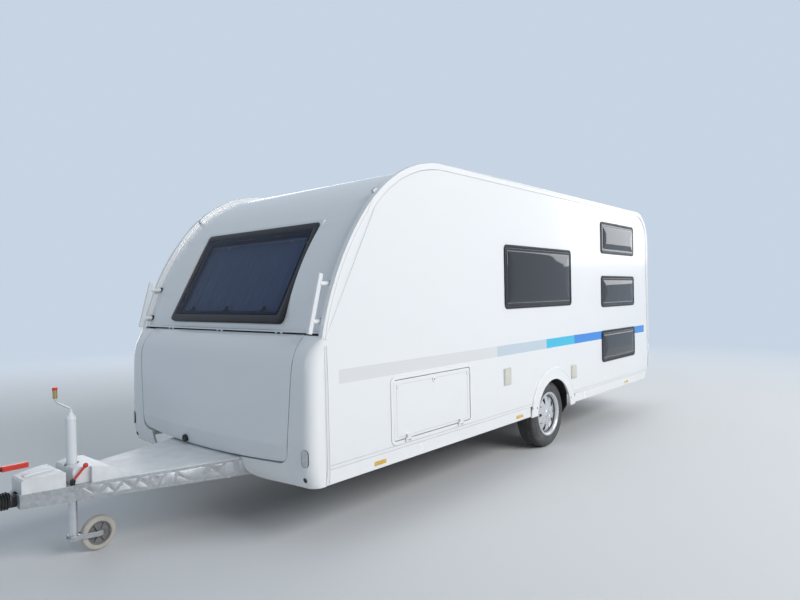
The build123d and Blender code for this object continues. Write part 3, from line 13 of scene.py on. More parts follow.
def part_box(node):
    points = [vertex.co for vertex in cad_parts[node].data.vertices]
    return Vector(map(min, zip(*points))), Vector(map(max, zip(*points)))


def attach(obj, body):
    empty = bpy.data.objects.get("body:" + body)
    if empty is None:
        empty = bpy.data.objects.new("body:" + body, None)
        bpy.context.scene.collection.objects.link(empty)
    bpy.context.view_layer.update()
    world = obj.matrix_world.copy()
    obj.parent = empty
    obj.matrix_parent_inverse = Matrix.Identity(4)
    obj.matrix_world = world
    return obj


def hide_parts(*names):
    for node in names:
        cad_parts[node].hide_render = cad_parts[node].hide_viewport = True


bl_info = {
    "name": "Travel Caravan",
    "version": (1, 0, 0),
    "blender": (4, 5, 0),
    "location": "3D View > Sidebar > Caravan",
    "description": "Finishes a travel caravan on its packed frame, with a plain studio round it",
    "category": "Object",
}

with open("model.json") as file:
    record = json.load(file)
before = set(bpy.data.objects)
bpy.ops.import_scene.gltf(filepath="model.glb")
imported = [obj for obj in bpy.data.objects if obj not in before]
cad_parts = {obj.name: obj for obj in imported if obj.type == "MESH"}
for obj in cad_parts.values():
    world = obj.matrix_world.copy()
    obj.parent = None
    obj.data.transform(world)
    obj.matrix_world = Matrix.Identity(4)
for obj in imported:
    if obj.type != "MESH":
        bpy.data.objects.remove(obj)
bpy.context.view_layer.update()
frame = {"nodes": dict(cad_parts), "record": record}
# Places are given forward of the axle, to the left and up, in metres; tables of them are in millimetres
AXLE_X = sum(corner.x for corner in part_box("tyre_left")) / 2
AXLE_Z = sum(corner.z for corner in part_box("tyre_left")) / 2
TYRE_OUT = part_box("tyre_left")[1].y
TYRE_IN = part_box("tyre_left")[0].y
WALL_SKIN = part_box("wall_left")[1].y
BODY_OF = {
    node: body
    for body, nodes in frame["record"]["behaviour"]["bodies"].items()
    for node in nodes
}
# How far forward of the axle the rear wall's skin lies
REAR_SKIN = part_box("rear_wall")[0].x - AXLE_X


def at(forward, left, up):
    """A point from its places forward of the axle, left and up."""
    return Vector((AXLE_X + forward, left, up))


def on_wall(side, places, out):
    """Points of a side wall, set out from its skin, from their places forward and up."""
    return [at(forward, side * (WALL_SKIN + out), up) for forward, up in places]


def facing_out(side, places, out):
    """Spots of screws that face out from a side wall."""
    return [(place, Vector((0, side, 0))) for place in on_wall(side, places, out)]


def mm(lengths):
    """Lengths in metres, from a table of lengths in millimetres."""
    if isinstance(lengths, (int, float)):
        return lengths / 1000
    return type(lengths)(mm(part) for part in lengths)


# Shader maths


class Wire:
    """A number's socket: sums, products and comparisons of wires add their Math nodes."""

    def __init__(self, finish, socket):
        self.finish = finish
        self.socket = socket

    def math(self, operation, *others):
        values = dict(enumerate((self, *others)))
        return self.finish.add("ShaderNodeMath", {"operation": operation}, values)

    def __rsub__(self, other):
        return self.finish.number(other).math("SUBTRACT", self)

    __add__ = __radd__ = partialmethod(math, "ADD")
    __sub__ = partialmethod(math, "SUBTRACT")
    __mul__ = __rmul__ = partialmethod(math, "MULTIPLY")
    __gt__ = partialmethod(math, "GREATER_THAN")
    __lt__ = partialmethod(math, "LESS_THAN")

    def between(self, low, high):
        """1 where the value lies between the two."""
        return (self > low) * (self < high)

    def ease(self, low, high):
        """Rises smoothly from 0 at low to 1 at high."""
        settings = {"interpolation_type": "SMOOTHSTEP"}
        return self.finish.add("ShaderNodeMapRange", settings, {0: self, 1: low, 2: high})


class Nodes:
    """A tree of nodes in the making."""

    def __init__(self, tree):
        self.tree = tree

    def add(self, kind, settings=None, values=None, out=0):
        """Adds a node, sets it up, fills or links its sockets and gives one of its outputs."""
        node = self.tree.nodes.new(kind)
        for key, value in (settings or {}).items():
            setattr(node, key, value)
        for key, value in (values or {}).items():
            self.fill(node.inputs[key], value)
        return Wire(self, node.outputs[out])

    def fill(self, socket, value):
        if isinstance(value, Wire):
            self.tree.links.new(value.socket, socket)
        elif socket.type == "RGBA" and len(value) == 3:
            socket.default_value = (*value, 1)
        else:
            socket.default_value = value

    def number(self, value):
        return self.add("ShaderNodeMath", {"operation": "ADD"}, {0: value, 1: 0.0})


class Finish(Nodes):
    """A material in the making, with its shader and the piece's own coordinates."""

    def __init__(self, name):
        self.material = bpy.data.materials.new(name)
        self.material.use_nodes = True
        super().__init__(self.material.node_tree)
        self.shader = self.tree.nodes["Principled BSDF"]
        self.place = self.add("ShaderNodeTexCoord", out="Object")
        self.axes = None

    def axis(self, letter):
        """One of the piece's own coordinates."""
        if self.axes is None:
            self.axes = self.tree.nodes.new("ShaderNodeSeparateXYZ")
            self.tree.links.new(self.place.socket, self.axes.inputs[0])
        return Wire(self, self.axes.outputs["XYZ".index(letter)])

    def noise(self, scale, detail=4, rough=0.55, vector=None):
        values = {"Vector": vector or self.place, "Scale": scale, "Detail": detail, "Roughness": rough}
        return self.add("ShaderNodeTexNoise", None, values)

    def cells(self, scale, out="Color", vector=None):
        values = {"Vector": vector or self.place, "Scale": scale}
        return self.add("ShaderNodeTexVoronoi", None, values, out)

    def stretched(self, x, y, z):
        """The piece's coordinates scaled along each axis."""
        return self.add("ShaderNodeMapping", None, {"Vector": self.place, "Scale": (x, y, z)})

    def mix(self, factor, first, second):
        """A colour between two colours."""
        settings = {"data_type": "RGBA"}
        return self.add("ShaderNodeMix", settings, {0: factor, 6: first, 7: second}, out=2)

    def bump(self, height, depth, strength=1.0):
        """Raises the surface by the height times the depth, in metres."""
        values = {"Height": height, "Distance": depth, "Strength": strength}
        self.shine(Normal=self.add("ShaderNodeBump", None, values))

    def shine(self, **values):
        """Sets the shader's sockets; words in a name are joined by underscores."""
        for key, value in values.items():
            self.fill(self.shader.inputs[key.replace("_", " ")], value)
        return self


def chosen(name):
    """A colour as it is set in the scene."""
    return tuple(getattr(bpy.context.scene.caravan_colours, name))


def scaled(colour, by, more=0.0):
    """A colour made lighter or darker."""
    return tuple(min(1.0, shade * by + more) for shade in colour)


# The stripe lies only on the outer skin, farther out than this from the middle
STRIPE_DEPTH = 1.125
STRIPE_LOW = 1.009
STRIPE_HIGH = 1.101
# Parts of the stripe along both sides: from, to, colour
STRIPE_BANDS = [
    (1.052, 2.957, "stripe_grey"),
    (0.136, 1.052, "stripe_pale"),
    (-0.495, 0.136, "stripe_cyan"),
    (-2.621, -0.495, "stripe_blue"),
]


def grime(finish, low, high, amount):
    """How much road dust lies on a surface: most near the ground, in soft patches."""
    fading = 1.0 - finish.axis("Z").ease(low, high)
    return fading * finish.noise(9.0, 6).ease(0.35, 0.75) * amount


def gloss_white(finish, colour, rough, peel=0.00002, stripe=False, dusty=0.05):
    """Smooth white paint or moulded plastic, with faint waves, drips and dust low down."""
    dust = grime(finish, 0.36, 0.8, dusty)
    streaks = finish.noise(1.0, 5, 0.6, finish.stretched(7.0, 7.0, 0.5)).ease(0.5, 0.9) * 0.04
    base = finish.mix(streaks, colour, (0.7, 0.71, 0.7))
    if stripe:
        outer = finish.axis("Y").math("ABSOLUTE").ease(STRIPE_DEPTH - 0.002, STRIPE_DEPTH)
        inside = finish.axis("Z").between(STRIPE_LOW, STRIPE_HIGH) * outer
        for rear, front, band in STRIPE_BANDS:
            along = finish.axis("X").between(AXLE_X + rear, AXLE_X + front)
            base = finish.mix(inside * along, base, chosen(band))
    base = finish.mix(dust, base, (0.42, 0.39, 0.35))
    finish.shine(Base_Color=base, Roughness=dust * 0.6 + finish.noise(3.0) * 0.05 + (rough - 0.02))
    finish.shine(Coat_Weight=0.35, Coat_Roughness=0.06, Specular_IOR_Level=0.5)
    finish.bump(finish.noise(110.0, 2) + finish.noise(5.0, 2) * 6.0, peel)


def moulded(finish, colour, rough, grain=0.00006, size=900.0, dusty=0.25, gloss=0.5):
    """Moulded plastic with a fine leathery grain, paler where it is worn and dusty."""
    dust = grime(finish, 0.2, 0.8, dusty)
    patches = finish.noise(14.0, 5).ease(0.35, 0.75)
    worn = scaled(colour, 1.18, 0.03)
    base = finish.mix(patches * 0.4, colour, worn)
    finish.shine(Base_Color=finish.mix(dust, base, (0.36, 0.34, 0.31)))
    finish.shine(Roughness=patches * 0.12 + dust * 0.3 + rough, Specular_IOR_Level=gloss)
    finish.bump(finish.cells(size, "Distance") + finish.noise(size / 3, 2), grain)


def spangled(finish, colour, rough, size=70.0, metallic=0.75):
    """Hot-dip galvanised steel: frosted crystals of many greys, duller where it has weathered."""
    crystals = finish.add("ShaderNodeRGBToBW", None, {0: finish.cells(size)})
    weather = finish.noise(7.0, 6, 0.65).ease(0.35, 0.7)
    dark = scaled(colour, 0.62)
    frost = finish.mix(crystals * 0.75, dark, colour)
    base = finish.mix(weather * 0.35, frost, (0.46, 0.47, 0.47))
    finish.shine(Base_Color=finish.mix(grime(finish, 0.2, 0.7, 0.3), base, (0.3, 0.27, 0.23)))
    finish.shine(Metallic=metallic, Roughness=crystals * 0.18 + weather * 0.15 + rough)
    finish.bump(crystals + finish.noise(260.0, 3), 0.00012)


def plated(finish, colour, rough):
    """Bright zinc or chrome plate with fine turning marks round it and dull spots."""
    marks = finish.noise(1.0, 3, 0.5, finish.stretched(30.0, 30.0, 900.0))
    spots = finish.noise(35.0, 6, 0.7).ease(0.52, 0.75)
    finish.shine(Base_Color=finish.mix(spots * 0.5, colour, (0.42, 0.41, 0.38)), Metallic=0.9)
    finish.shine(Roughness=marks * 0.1 + spots * 0.3 + rough)
    finish.bump(marks, 0.00004)


def rubber(finish, colour, rough=0.62):
    """Rubber, browned by dust in soft patches."""
    dust = finish.noise(11.0, 7, 0.65).ease(0.42, 0.78)
    grey = scaled(colour, 0.55, 0.115)
    finish.shine(Base_Color=finish.mix(dust * 0.8, colour, grey))
    finish.shine(Roughness=dust * 0.2 + rough)
    finish.bump(finish.noise(420.0, 3) + dust * 0.6, 0.00015)


def silver_paint(finish, colour):
    """Metallic silver lacquer: tiny flakes under a clear coat."""
    flakes = finish.add("ShaderNodeRGBToBW", None, {0: finish.cells(2600.0)})
    dust = finish.noise(18.0, 6).ease(0.5, 0.85)
    bright = scaled(colour, 1.12)
    base = finish.mix(flakes, scaled(colour, 0.9), bright)
    finish.shine(Base_Color=finish.mix(dust * 0.35, base, (0.3, 0.27, 0.24)))
    finish.shine(Metallic=0.55, Roughness=dust * 0.3 + flakes * 0.08 + 0.24, Coat_Weight=0.6)
    finish.bump(flakes, 0.00003)


def smoked(finish, colour, alpha, gloss=0.5):
    """Tinted acrylic: dark, glossy, with faint waves that bend its reflections."""
    smear = finish.noise(6.0, 6, 0.6).ease(0.45, 0.8)
    finish.shine(Base_Color=colour, Roughness=smear * 0.04 + 0.03, Alpha=alpha)
    finish.shine(Coat_Weight=gloss, Coat_Roughness=0.015, Specular_IOR_Level=gloss)
    finish.bump(finish.noise(2.4, 1), 0.0012)


def lens(finish, colour, ribs):
    """Moulded lamp lens: small ribs behind a clear, coloured face, its colour varying in soft patches and
    painted lighter along the ribs as glints of light.
    """
    across = (finish.axis("Y") * ribs).math("SINE")
    upward = (finish.axis("Z") * ribs).math("SINE")
    # Soft patches are a random tone; the lighter rib pattern is painted glints of light in the ribs
    glow = finish.noise(30.0, 2) * 0.4 + across * upward * 0.3
    deep = scaled(colour, 0.45)
    finish.shine(Base_Color=finish.mix(glow.ease(-0.2, 0.6), deep, colour), Roughness=glow * 0.08 + 0.1)
    finish.shine(Coat_Weight=1.0, Coat_Roughness=0.02)
    finish.bump(across * upward, 0.0006)


def blind_cloth(finish, colour):
    """Woven cloth of a blind or curtain."""
    warp = (finish.axis("Y") * 2600.0).math("SINE")
    weft = (finish.axis("Z") * 2600.0).math("SINE")
    weave = warp * weft
    shade = finish.noise(8.0, 5)
    faded = scaled(colour, 0.82)
    finish.shine(Base_Color=finish.mix(shade, colour, faded), Roughness=weave * 0.06 + 0.86)
    finish.shine(Sheen_Weight=0.3)
    finish.bump(weave, 0.0001)


def plywood(finish, colour):
    """Dark coated board with its grain lightly telegraphing through."""
    grain = finish.noise(1.0, 7, 0.6, finish.stretched(3.0, 60.0, 60.0))
    lighter = scaled(colour, 1.9)
    finish.shine(Base_Color=finish.mix(grain.ease(0.3, 0.8), colour, lighter))
    finish.shine(Roughness=grain * 0.25 + 0.6)
    finish.bump(grain, 0.0004)


def cast_metal(finish, colour):
    """Painted cast metal with a sandy skin and a little rust."""
    rust = finish.noise(26.0, 8, 0.7).ease(0.56, 0.72)
    finish.shine(Base_Color=finish.mix(rust * 0.7, colour, (0.16, 0.06, 0.025)))
    finish.shine(Metallic=0.3, Roughness=rust * 0.3 + 0.45)
    finish.bump(finish.noise(500.0, 4) + rust * 0.8, 0.0003)


def milky(finish, colour, alpha):
    """Milky acrylic of the rooflights."""
    haze = finish.noise(9.0, 5).ease(0.3, 0.8)
    finish.shine(Base_Color=finish.mix(haze * 0.4, colour, (0.66, 0.68, 0.68)), Alpha=alpha)
    finish.shine(Roughness=haze * 0.15 + 0.12, Coat_Weight=0.8)
    finish.bump(finish.noise(300.0, 2), 0.00005)


# Each finish: its maker and the maker's settings; its colour has the same name
FINISH_MAKERS = {
    "white_panel": (gloss_white, {"rough": 0.2, "stripe": True}),
    "white_trim": (gloss_white, {"rough": 0.24}),
    "white_lid": (gloss_white, {"rough": 0.13}),
    "handle_white": (gloss_white, {"rough": 0.3}),
    "jack_paint": (gloss_white, {"rough": 0.28}),
    "cover_white": (moulded, {"rough": 0.42, "grain": 0.0002, "size": 500.0, "dusty": 0.35}),
    "cover_beige": (moulded, {"rough": 0.36, "dusty": 0.1}),
    "black_plastic": (moulded, {"rough": 0.55}),
    "frame_black": (moulded, {"rough": 0.34, "grain": 0.00003, "gloss": 0.28}),
    "lever_red": (moulded, {"rough": 0.33, "grain": 0.00003}),
    "hub_grey": (moulded, {"rough": 0.5}),
    "seam_grey": (moulded, {"rough": 0.6, "grain": 0.00003}),
    "plate_blank": (moulded, {"rough": 0.3, "grain": 0.00002, "dusty": 0.1}),
    "floor_board": (plywood, {}),
    "galvanised": (spangled, {"rough": 0.36}),
    "pressed_zinc": (spangled, {"rough": 0.28, "size": 25.0, "metallic": 0.55}),
    "axle_metal": (spangled, {"rough": 0.46, "size": 55.0}),
    "tyre_rubber": (rubber, {}),
    "gaiter_rubber": (rubber, {"rough": 0.5}),
    "caster_rubber": (rubber, {"rough": 0.6}),
    "rim_silver": (silver_paint, {}),
    "drum_metal": (cast_metal, {}),
    "coupling_black": (cast_metal, {}),
    "jack_zinc": (plated, {"rough": 0.3}),
    "brass": (plated, {"rough": 0.32}),
    "tinted_pane": (smoked, {"alpha": 0.88}),
    # The front pane's navy is partly its tint and partly painted reflection of a blue sky
    "front_tint": (smoked, {"alpha": 0.4, "gloss": 0.16}),
    "roof_dome": (milky, {"alpha": 0.85}),
    "blind_cloth": (blind_cloth, {}),
    # The curtains' blue is partly their cloth and partly painted reflection of a blue sky in the front window
    "curtain_cloth": (blind_cloth, {}),
    "lamp_lens": (lens, {"ribs": 900.0}),
    "amber_lens": (lens, {"ribs": 1200.0}),
    "clear_lens": (lens, {"ribs": 900.0}),
    "yellow_lens": (lens, {"ribs": 1200.0}),
}
FINISHES = {}


class CARAVAN_OT_finishes(bpy.types.Operator):
    """Mixes the paints, plastics, metals, rubbers and cloths from their chosen colours"""

    bl_idname = "caravan.finishes"
    bl_label = "Finishes"

    def execute(self, context):
        for name, (maker, settings) in FINISH_MAKERS.items():
            finish = Finish(name)
            maker(finish, chosen(name), **settings)
            FINISHES[name] = finish.material
        for held in frame["nodes"].values():
            for place in held.material_slots:
                place.material = FINISHES[place.material.name.split(".")[0]]
        return {"FINISHED"}


# Shapes


def rounded(width, height, radius, steps=6):
    """Points of a rounded rectangle about the origin, anticlockwise."""
    points = []
    for quarter, (side, up) in enumerate(((1, 1), (-1, 1), (-1, -1), (1, -1))):
        for step in range(steps + 1):
            angle = (quarter + step / steps) * pi / 2
            across = side * (width / 2 - radius) + radius * cos(angle)
            points.append((across, up * (height / 2 - radius) + radius * sin(angle)))
    return points


def corner_arc(before, corner, after, radius, steps):
    """Points that round a corner between two straight runs."""
    into, away = before - corner, after - corner
    reach = min(radius, into.length * 0.45, away.length * 0.45)
    start = corner + into.normalized() * reach
    end = corner + away.normalized() * reach
    shares = [step / steps for step in range(steps + 1)]
    return [start.lerp(corner, share).lerp(corner.lerp(end, share), share) for share in shares]


def bent(points, radius, steps=8):
    """A path of straight runs with rounded corners."""
    path = [points[0]]
    for three in zip(points, points[1:], points[2:]):
        path += corner_arc(*three, radius, steps)
    return path + [points[-1]]


class Shape:
    """One piece in the making."""

    def __init__(self):
        self.mesh = bmesh.new()

    def ring(self, points):
        return [self.mesh.verts.new(point) for point in points]

    def bridge(self, first, second, closed=True):
        """Faces between two rings of as many points."""
        for index in range(len(first) if closed else len(first) - 1):
            following = (index + 1) % len(first)
            self.mesh.faces.new((first[index], first[following], second[following], second[index]))

    def skin(self, rings, closed=True):
        """A surface through rings with its ends closed, or else an open sheet through lines."""
        made = [self.ring(points) for points in rings]
        for first, second in zip(made, made[1:]):
            self.bridge(first, second, closed)
        if closed:
            self.mesh.faces.new(made[0])
            self.mesh.faces.new(made[-1])
        return self

    def loop(self, rings):
        """A closed ring of sections, such as a frame."""
        made = [self.ring(points) for points in rings]
        for first, second in zip(made, made[1:] + made[:1]):
            self.bridge(first, second)
        return self

    def hoop(self, section, steps, place):
        """A closed section turned round; place gives a point from its angle and the section's pair."""
        angles = [tau * step / steps for step in range(steps)]
        return self.loop([[place(angle, *pair) for pair in section] for angle in angles])

    def prism(self, outline, away):
        """A flat outline pushed along a direction."""
        return self.skin([outline, [point + away for point in outline]])

    def block(self, low, high):
        """A box between two corners."""
        corners = ((low[0], low[1]), (high[0], low[1]), (high[0], high[1]), (low[0], high[1]))
        return self.prism([Vector((x, y, low[2])) for x, y in corners], Vector((0, 0, high[2] - low[2])))

    def lathe(self, profile, middle, axis, steps=48):
        """Turns a profile of (along, radius) about an axis through a point."""
        axis = Vector(axis).normalized()
        side = axis.orthogonal().normalized()
        other = axis.cross(side)
        turns = [tau * step / steps for step in range(steps)]
        ways = [side * cos(turn) + other * sin(turn) for turn in turns]
        rings = [[middle + axis * along + way * radius for way in ways] for along, radius in profile]
        return self.skin(rings)

    def tube(self, path, radius, sides=16, flat=1.0):
        """A round or flattened bar along a path of points."""
        turns = [tau * step / sides for step in range(sides)]
        rings = []
        across = None
        for index, point in enumerate(path):
            before = path[max(index - 1, 0)]
            after = path[min(index + 1, len(path) - 1)]
            along = (after - before).normalized()
            if across is None:
                across = along.orthogonal().normalized()
            across = (across - along * across.dot(along)).normalized()
            up = along.cross(across)
            wide, deep = across * radius, up * (radius * flat)
            rings.append([point + wide * cos(turn) + deep * sin(turn) for turn in turns])
        return self.skin(rings)

    def piece(self, name, finish, body="caravan", bevel=0.0, angle=35.0, replaces=(), segments=2):
        """Finishes the piece: outward faces, softened edges, its material and its body."""
        bmesh.ops.remove_doubles(self.mesh, verts=self.mesh.verts, dist=1e-6)
        bmesh.ops.recalc_face_normals(self.mesh, faces=self.mesh.faces)
        return settle(poured(self.mesh, name), name, finish, body, bevel, angle, replaces, segments)


def poured(mesh, name):
    """A bmesh as a mesh of its own; the bmesh is then freed."""
    data = bpy.data.meshes.new(name)
    mesh.to_mesh(data)
    mesh.free()
    return data


def stood(name, data):
    """An object in the scene that shows some data."""
    made = bpy.data.objects.new(name, data)
    bpy.context.scene.collection.objects.link(made)
    return made


def settle(data, name, finish, body, bevel, angle, replaces, segments=2):
    """Puts a mesh in the scene as a finished piece."""
    made = stood(name, data)
    if bevel:
        softened = made.modifiers.new("edges", "BEVEL")
        softened.width = bevel
        softened.segments = segments
        softened.limit_method = "ANGLE"
        softened.angle_limit = radians(angle)
        softened.miter_outer = "MITER_ARC"
        made.data = applied(made)
    made.data.materials.clear()
    made.data.materials.append(FINISHES[finish])
    made.data.polygons.foreach_set("material_index", [0] * len(made.data.polygons))
    made.data.shade_smooth()
    made.data.set_sharp_from_angle(angle=radians(angle))
    if bevel:
        made.modifiers.new("even normals", "WEIGHTED_NORMAL").keep_sharp = True
        made.data = applied(made)
    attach(made, body)
    if replaces:
        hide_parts(*replaces)
    return made


def applied(made):
    """The piece's mesh with its modifiers worked into it; they are then removed."""
    graph = bpy.context.evaluated_depsgraph_get()
    graph.update()
    data = bpy.data.meshes.new_from_object(made.evaluated_get(graph))
    made.modifiers.clear()
    data.name = made.name
    return data


def used(made):
    """The mesh that an object's modifiers give; the object is then removed."""
    data = applied(made)
    bpy.data.objects.remove(made)
    return data


def thickened(data, thick, even=False):
    """A sheet's mesh with its thickness laid on its inner side."""
    made = stood(data.name, data)
    wall = made.modifiers.new("thickness", "SOLIDIFY")
    wall.thickness = thick
    wall.offset = -1.0
    wall.use_even_offset = even
    return used(made)


def merged(node, flat=False):
    """A CAD node's mesh with its corners joined, and its flat faces too where asked, as a bmesh."""
    mesh = bmesh.new()
    mesh.from_mesh(frame["nodes"][node].data)
    bmesh.ops.remove_doubles(mesh, verts=mesh.verts, dist=2e-5)
    if flat:
        bmesh.ops.dissolve_limit(mesh, angle_limit=radians(0.6), verts=mesh.verts, edges=mesh.edges)
    return mesh


def islands(node):
    """Boxes round each separate solid of a node, from the rear forward."""
    mesh = merged(node)
    left = set(mesh.verts)
    boxes = []
    while left:
        todo = [left.pop()]
        found = []
        while todo:
            corner = todo.pop()
            found.append(corner.co.copy())
            near = {edge.other_vert(corner) for edge in corner.link_edges} & left
            left -= near
            todo += near
        sides = list(zip(*found))
        boxes.append((Vector([min(side) for side in sides]), Vector([max(side) for side in sides])))
    mesh.free()
    return sorted(boxes, key=lambda box: tuple(box[0]))


def soften(node, finish, bevel=0.002, angle=35.0):
    """Stands a copy of a CAD node in its place, with its flat faces joined and its edges softened."""
    name = "finished_" + node
    return settle(poured(merged(node, True), name), name, finish, BODY_OF[node], bevel, angle, [node])


# Geometry Nodes for what repeats or follows a path


class Growth(Nodes):
    """A Geometry Nodes tree in the making, with named inputs of (kind, default)."""

    def __init__(self, name, **inputs):
        super().__init__(bpy.data.node_groups.new(name, "GeometryNodeTree"))
        sockets = self.tree.interface
        sockets.new_socket("Geometry", in_out="OUTPUT", socket_type="NodeSocketGeometry")
        sockets.new_socket("Geometry", in_out="INPUT", socket_type="NodeSocketGeometry")
        sockets.new_socket("Material", in_out="INPUT", socket_type="NodeSocketMaterial")
        for label, (kind, value) in inputs.items():
            made = sockets.new_socket(label, in_out="INPUT", socket_type="NodeSocket" + kind)
            made.default_value = value
        self.start = self.tree.nodes.new("NodeGroupInput")
        self.end = self.tree.nodes.new("NodeGroupOutput")

    def given(self, label):
        """One of the tree's inputs."""
        return Wire(self, self.start.outputs[label])

    def vector(self, x, y, z):
        return self.add("ShaderNodeCombineXYZ", None, {0: x, 1: y, 2: z})

    def joined(self, *parts):
        node = self.tree.nodes.new("GeometryNodeJoinGeometry")
        for part in parts:
            self.tree.links.new(part.socket, node.inputs[0])
        return Wire(self, node.outputs[0])

    def close(self, geometry):
        """Ends the tree with its instances made real and their finish set."""
        real = self.add("GeometryNodeRealizeInstances", None, {0: geometry})
        values = {"Geometry": real, "Material": self.given("Material")}
        self.fill(self.end.inputs[0], self.add("GeometryNodeSetMaterial", None, values))
        return self.tree


def fastener_tree():
    """A head on a washer at each point of the start mesh, along the point's facing."""
    sizes = {"Radius": ("Float", 0.005), "Height": ("Float", 0.003), "Sides": ("Int", 12)}
    tree = Growth("fasteners", **sizes)
    radius, height = tree.given("Radius"), tree.given("Height")
    values = {"Vertices": tree.given("Sides"), "Depth": height}
    values.update({"Radius Top": radius * 0.72, "Radius Bottom": radius})
    head = tree.add("GeometryNodeMeshCone", None, values)
    values = {"Vertices": 16, "Depth": height * 0.3}
    values.update({"Radius Top": radius * 1.35, "Radius Bottom": radius * 1.45})
    washer = tree.add("GeometryNodeMeshCone", None, values)
    settings = {"data_type": "FLOAT_VECTOR"}
    facing = tree.add("GeometryNodeInputNamedAttribute", settings, {"Name": "facing"}, "Attribute")
    turn = tree.add("FunctionNodeAlignRotationToVector", {"axis": "Z"}, {"Vector": facing})
    values = {"Points": tree.given("Geometry"), "Instance": tree.joined(head, washer), "Rotation": turn}
    return tree.close(tree.add("GeometryNodeInstanceOnPoints", None, values))


def slat_tree():
    """Rows of tilted slats, one row up from each point of the start mesh."""
    sizes = {"Count": ("Int", 8), "Width": ("Float", 0.4), "Pitch": ("Float", 0.016)}
    sizes.update({"Depth": ("Float", 0.016), "Thickness": ("Float", 0.0018), "Tilt": ("Float", 0.7)})
    tree = Growth("slats", **sizes)
    size = tree.vector(tree.given("Width"), tree.given("Depth"), tree.given("Thickness"))
    slat = tree.add("GeometryNodeMeshCube", None, {"Size": size})
    values = {"Geometry": slat, "Rotation": tree.vector(tree.given("Tilt"), 0.0, 0.0)}
    tilted = tree.add("GeometryNodeTransform", None, values)
    values = {"Count": tree.given("Count"), "Offset": tree.vector(0.0, 0.0, tree.given("Pitch"))}
    line = tree.add("GeometryNodeMeshLine", None, values)
    row = tree.add("GeometryNodeInstanceOnPoints", None, {"Points": line, "Instance": tilted})
    values = {"Points": tree.given("Geometry"), "Instance": row}
    return tree.close(tree.add("GeometryNodeInstanceOnPoints", None, values))


def bead_tree():
    """A round bead along the edges of the start mesh."""
    tree = Growth("beads", Radius=("Float", 0.001), Sides=("Int", 8))
    path = tree.add("GeometryNodeMeshToCurve", None, {"Mesh": tree.given("Geometry")})
    values = {"Resolution": tree.given("Sides"), "Radius": tree.given("Radius")}
    profile = tree.add("GeometryNodeCurvePrimitiveCircle", None, values)
    values = {"Curve": path, "Profile Curve": profile, "Fill Caps": True}
    return tree.close(tree.add("GeometryNodeCurveToMesh", None, values))


TREE_MAKERS = {"fasteners": fastener_tree, "slats": slat_tree, "beads": bead_tree}


def grown(name, kind, start, finish, body, angle=35.0, **values):
    """Runs a tree on a start mesh and settles the plain mesh that comes out."""
    tree = bpy.data.node_groups.get(kind) or TREE_MAKERS[kind]()
    made = stood(name, start)
    growth = made.modifiers.new("growth", "NODES")
    growth.node_group = tree
    values["Material"] = FINISHES[finish]
    for socket in tree.interface.items_tree:
        if socket.in_out == "INPUT" and socket.name in values:
            growth[socket.identifier] = values[socket.name]
    return settle(used(made), name, finish, body, 0.0, angle, ())


def dots(name, points, edges=()):
    """A start mesh of points and the edges between them."""
    data = bpy.data.meshes.new(name)
    data.from_pydata(points, edges, [])
    return data


def fasteners(name, spots, finish, body="caravan", **sizes):
    """Screw or bolt heads at spots of (place, direction)."""
    start = dots(name, [place for place, away in spots])
    facing = start.attributes.new("facing", "FLOAT_VECTOR", "POINT")
    for spot, (place, away) in zip(facing.data, spots):
        spot.vector = away
    return grown(name, "fasteners", start, finish, body, **sizes)


def beads(name, paths, finish, body="caravan", **sizes):
    """Fine raised lines along paths of points."""
    edges = []
    first = 0
    for path in paths:
        edges += [(first + step, first + step + 1) for step in range(len(path) - 1)]
        first += len(path)
    return grown(name, "beads", dots(name, sum(paths, []), edges), finish, body, 60.0, **sizes)


# Pieces kept from the model, with softened edges

SOFTENED = [
    ("drawbar_beams", "galvanised", 0.003),
    ("chassis_rails", "galvanised", 0.0015),
    ("axle", "axle_metal", 0.003),
    ("wheel_boxes", "black_plastic", 0.004),
    ("wall_left", "white_panel", 0.0),
    ("wall_right", "white_panel", 0.0),
    ("floor", "floor_board", 0.003),
    ("edge_trims", "white_trim", 0.0028),
    ("roof", "white_panel", 0.0),
    ("front_wall", "white_panel", 0.003),
    ("rear_wall", "white_panel", 0.0),
    # The gas locker is black so that what shows of it under the lid's lifted corners reads dark: painted
    # shade of the locker's inside
    ("gas_locker", "black_plastic", 0.004),
    ("side_skirts", "white_trim", 0.003),
    ("rear_bumper", "white_trim", 0.006),
    ("opening_frames", "white_trim", 0.002),
    ("hatch_door", "white_panel", 0.002),
    ("cassette_door", "white_panel", 0.002),
    ("entrance_door", "white_panel", 0.002),
    ("drawbar_cover", "cover_white", 0.006),
    ("jack_clamp", "galvanised", 0.0015),
    ("jack_leg", "jack_zinc", 0.001),
    ("jockey_fork", "galvanised", 0.0015),
]
for corner in ("front_left", "front_right", "rear_left", "rear_right"):
    SOFTENED.append(("steady_" + corner, "galvanised", 0.0015))


def trim_middle(side):
    """The line along the middle of the edge trim's lip, found between the lip's two edges."""
    mesh = merged("edge_trims", True)
    centre = sum(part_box("edge_trims"), Vector()) / 2
    faces = [face for face in mesh.faces if face.normal.y * side > 0.99]
    lip = max(faces, key=lambda face: face.calc_center_median().y * side * 10 + face.calc_area())
    outline = [corner.co.copy() for corner in lip.verts]
    mesh.free()
    line = []
    for point in outline:
        across = [other for other in outline if 0.035 < (other - point).length < 0.065]
        if not across:
            continue
        near = min(across, key=lambda other: (other - point).length)
        if (point - near).normalized().dot((point - centre).normalized()) > 0.3:
            line.append((point + near) / 2)
    gaps = [(line[index] - line[index - 1]).length for index in range(len(line))]
    start = gaps.index(max(gaps))
    return line[start:] + line[:start]


class CARAVAN_OT_body(bpy.types.Operator):
    """Stands softened copies in the places of the body's panels and the chassis"""

    bl_idname = "caravan.body"
    bl_label = "Body panels and chassis"

    def execute(self, context):
        for node, finish, edge in SOFTENED:
            soften(node, finish, edge)
        return {"FINISHED"}


# Wheel arches

SPAT_LOW = 0.378
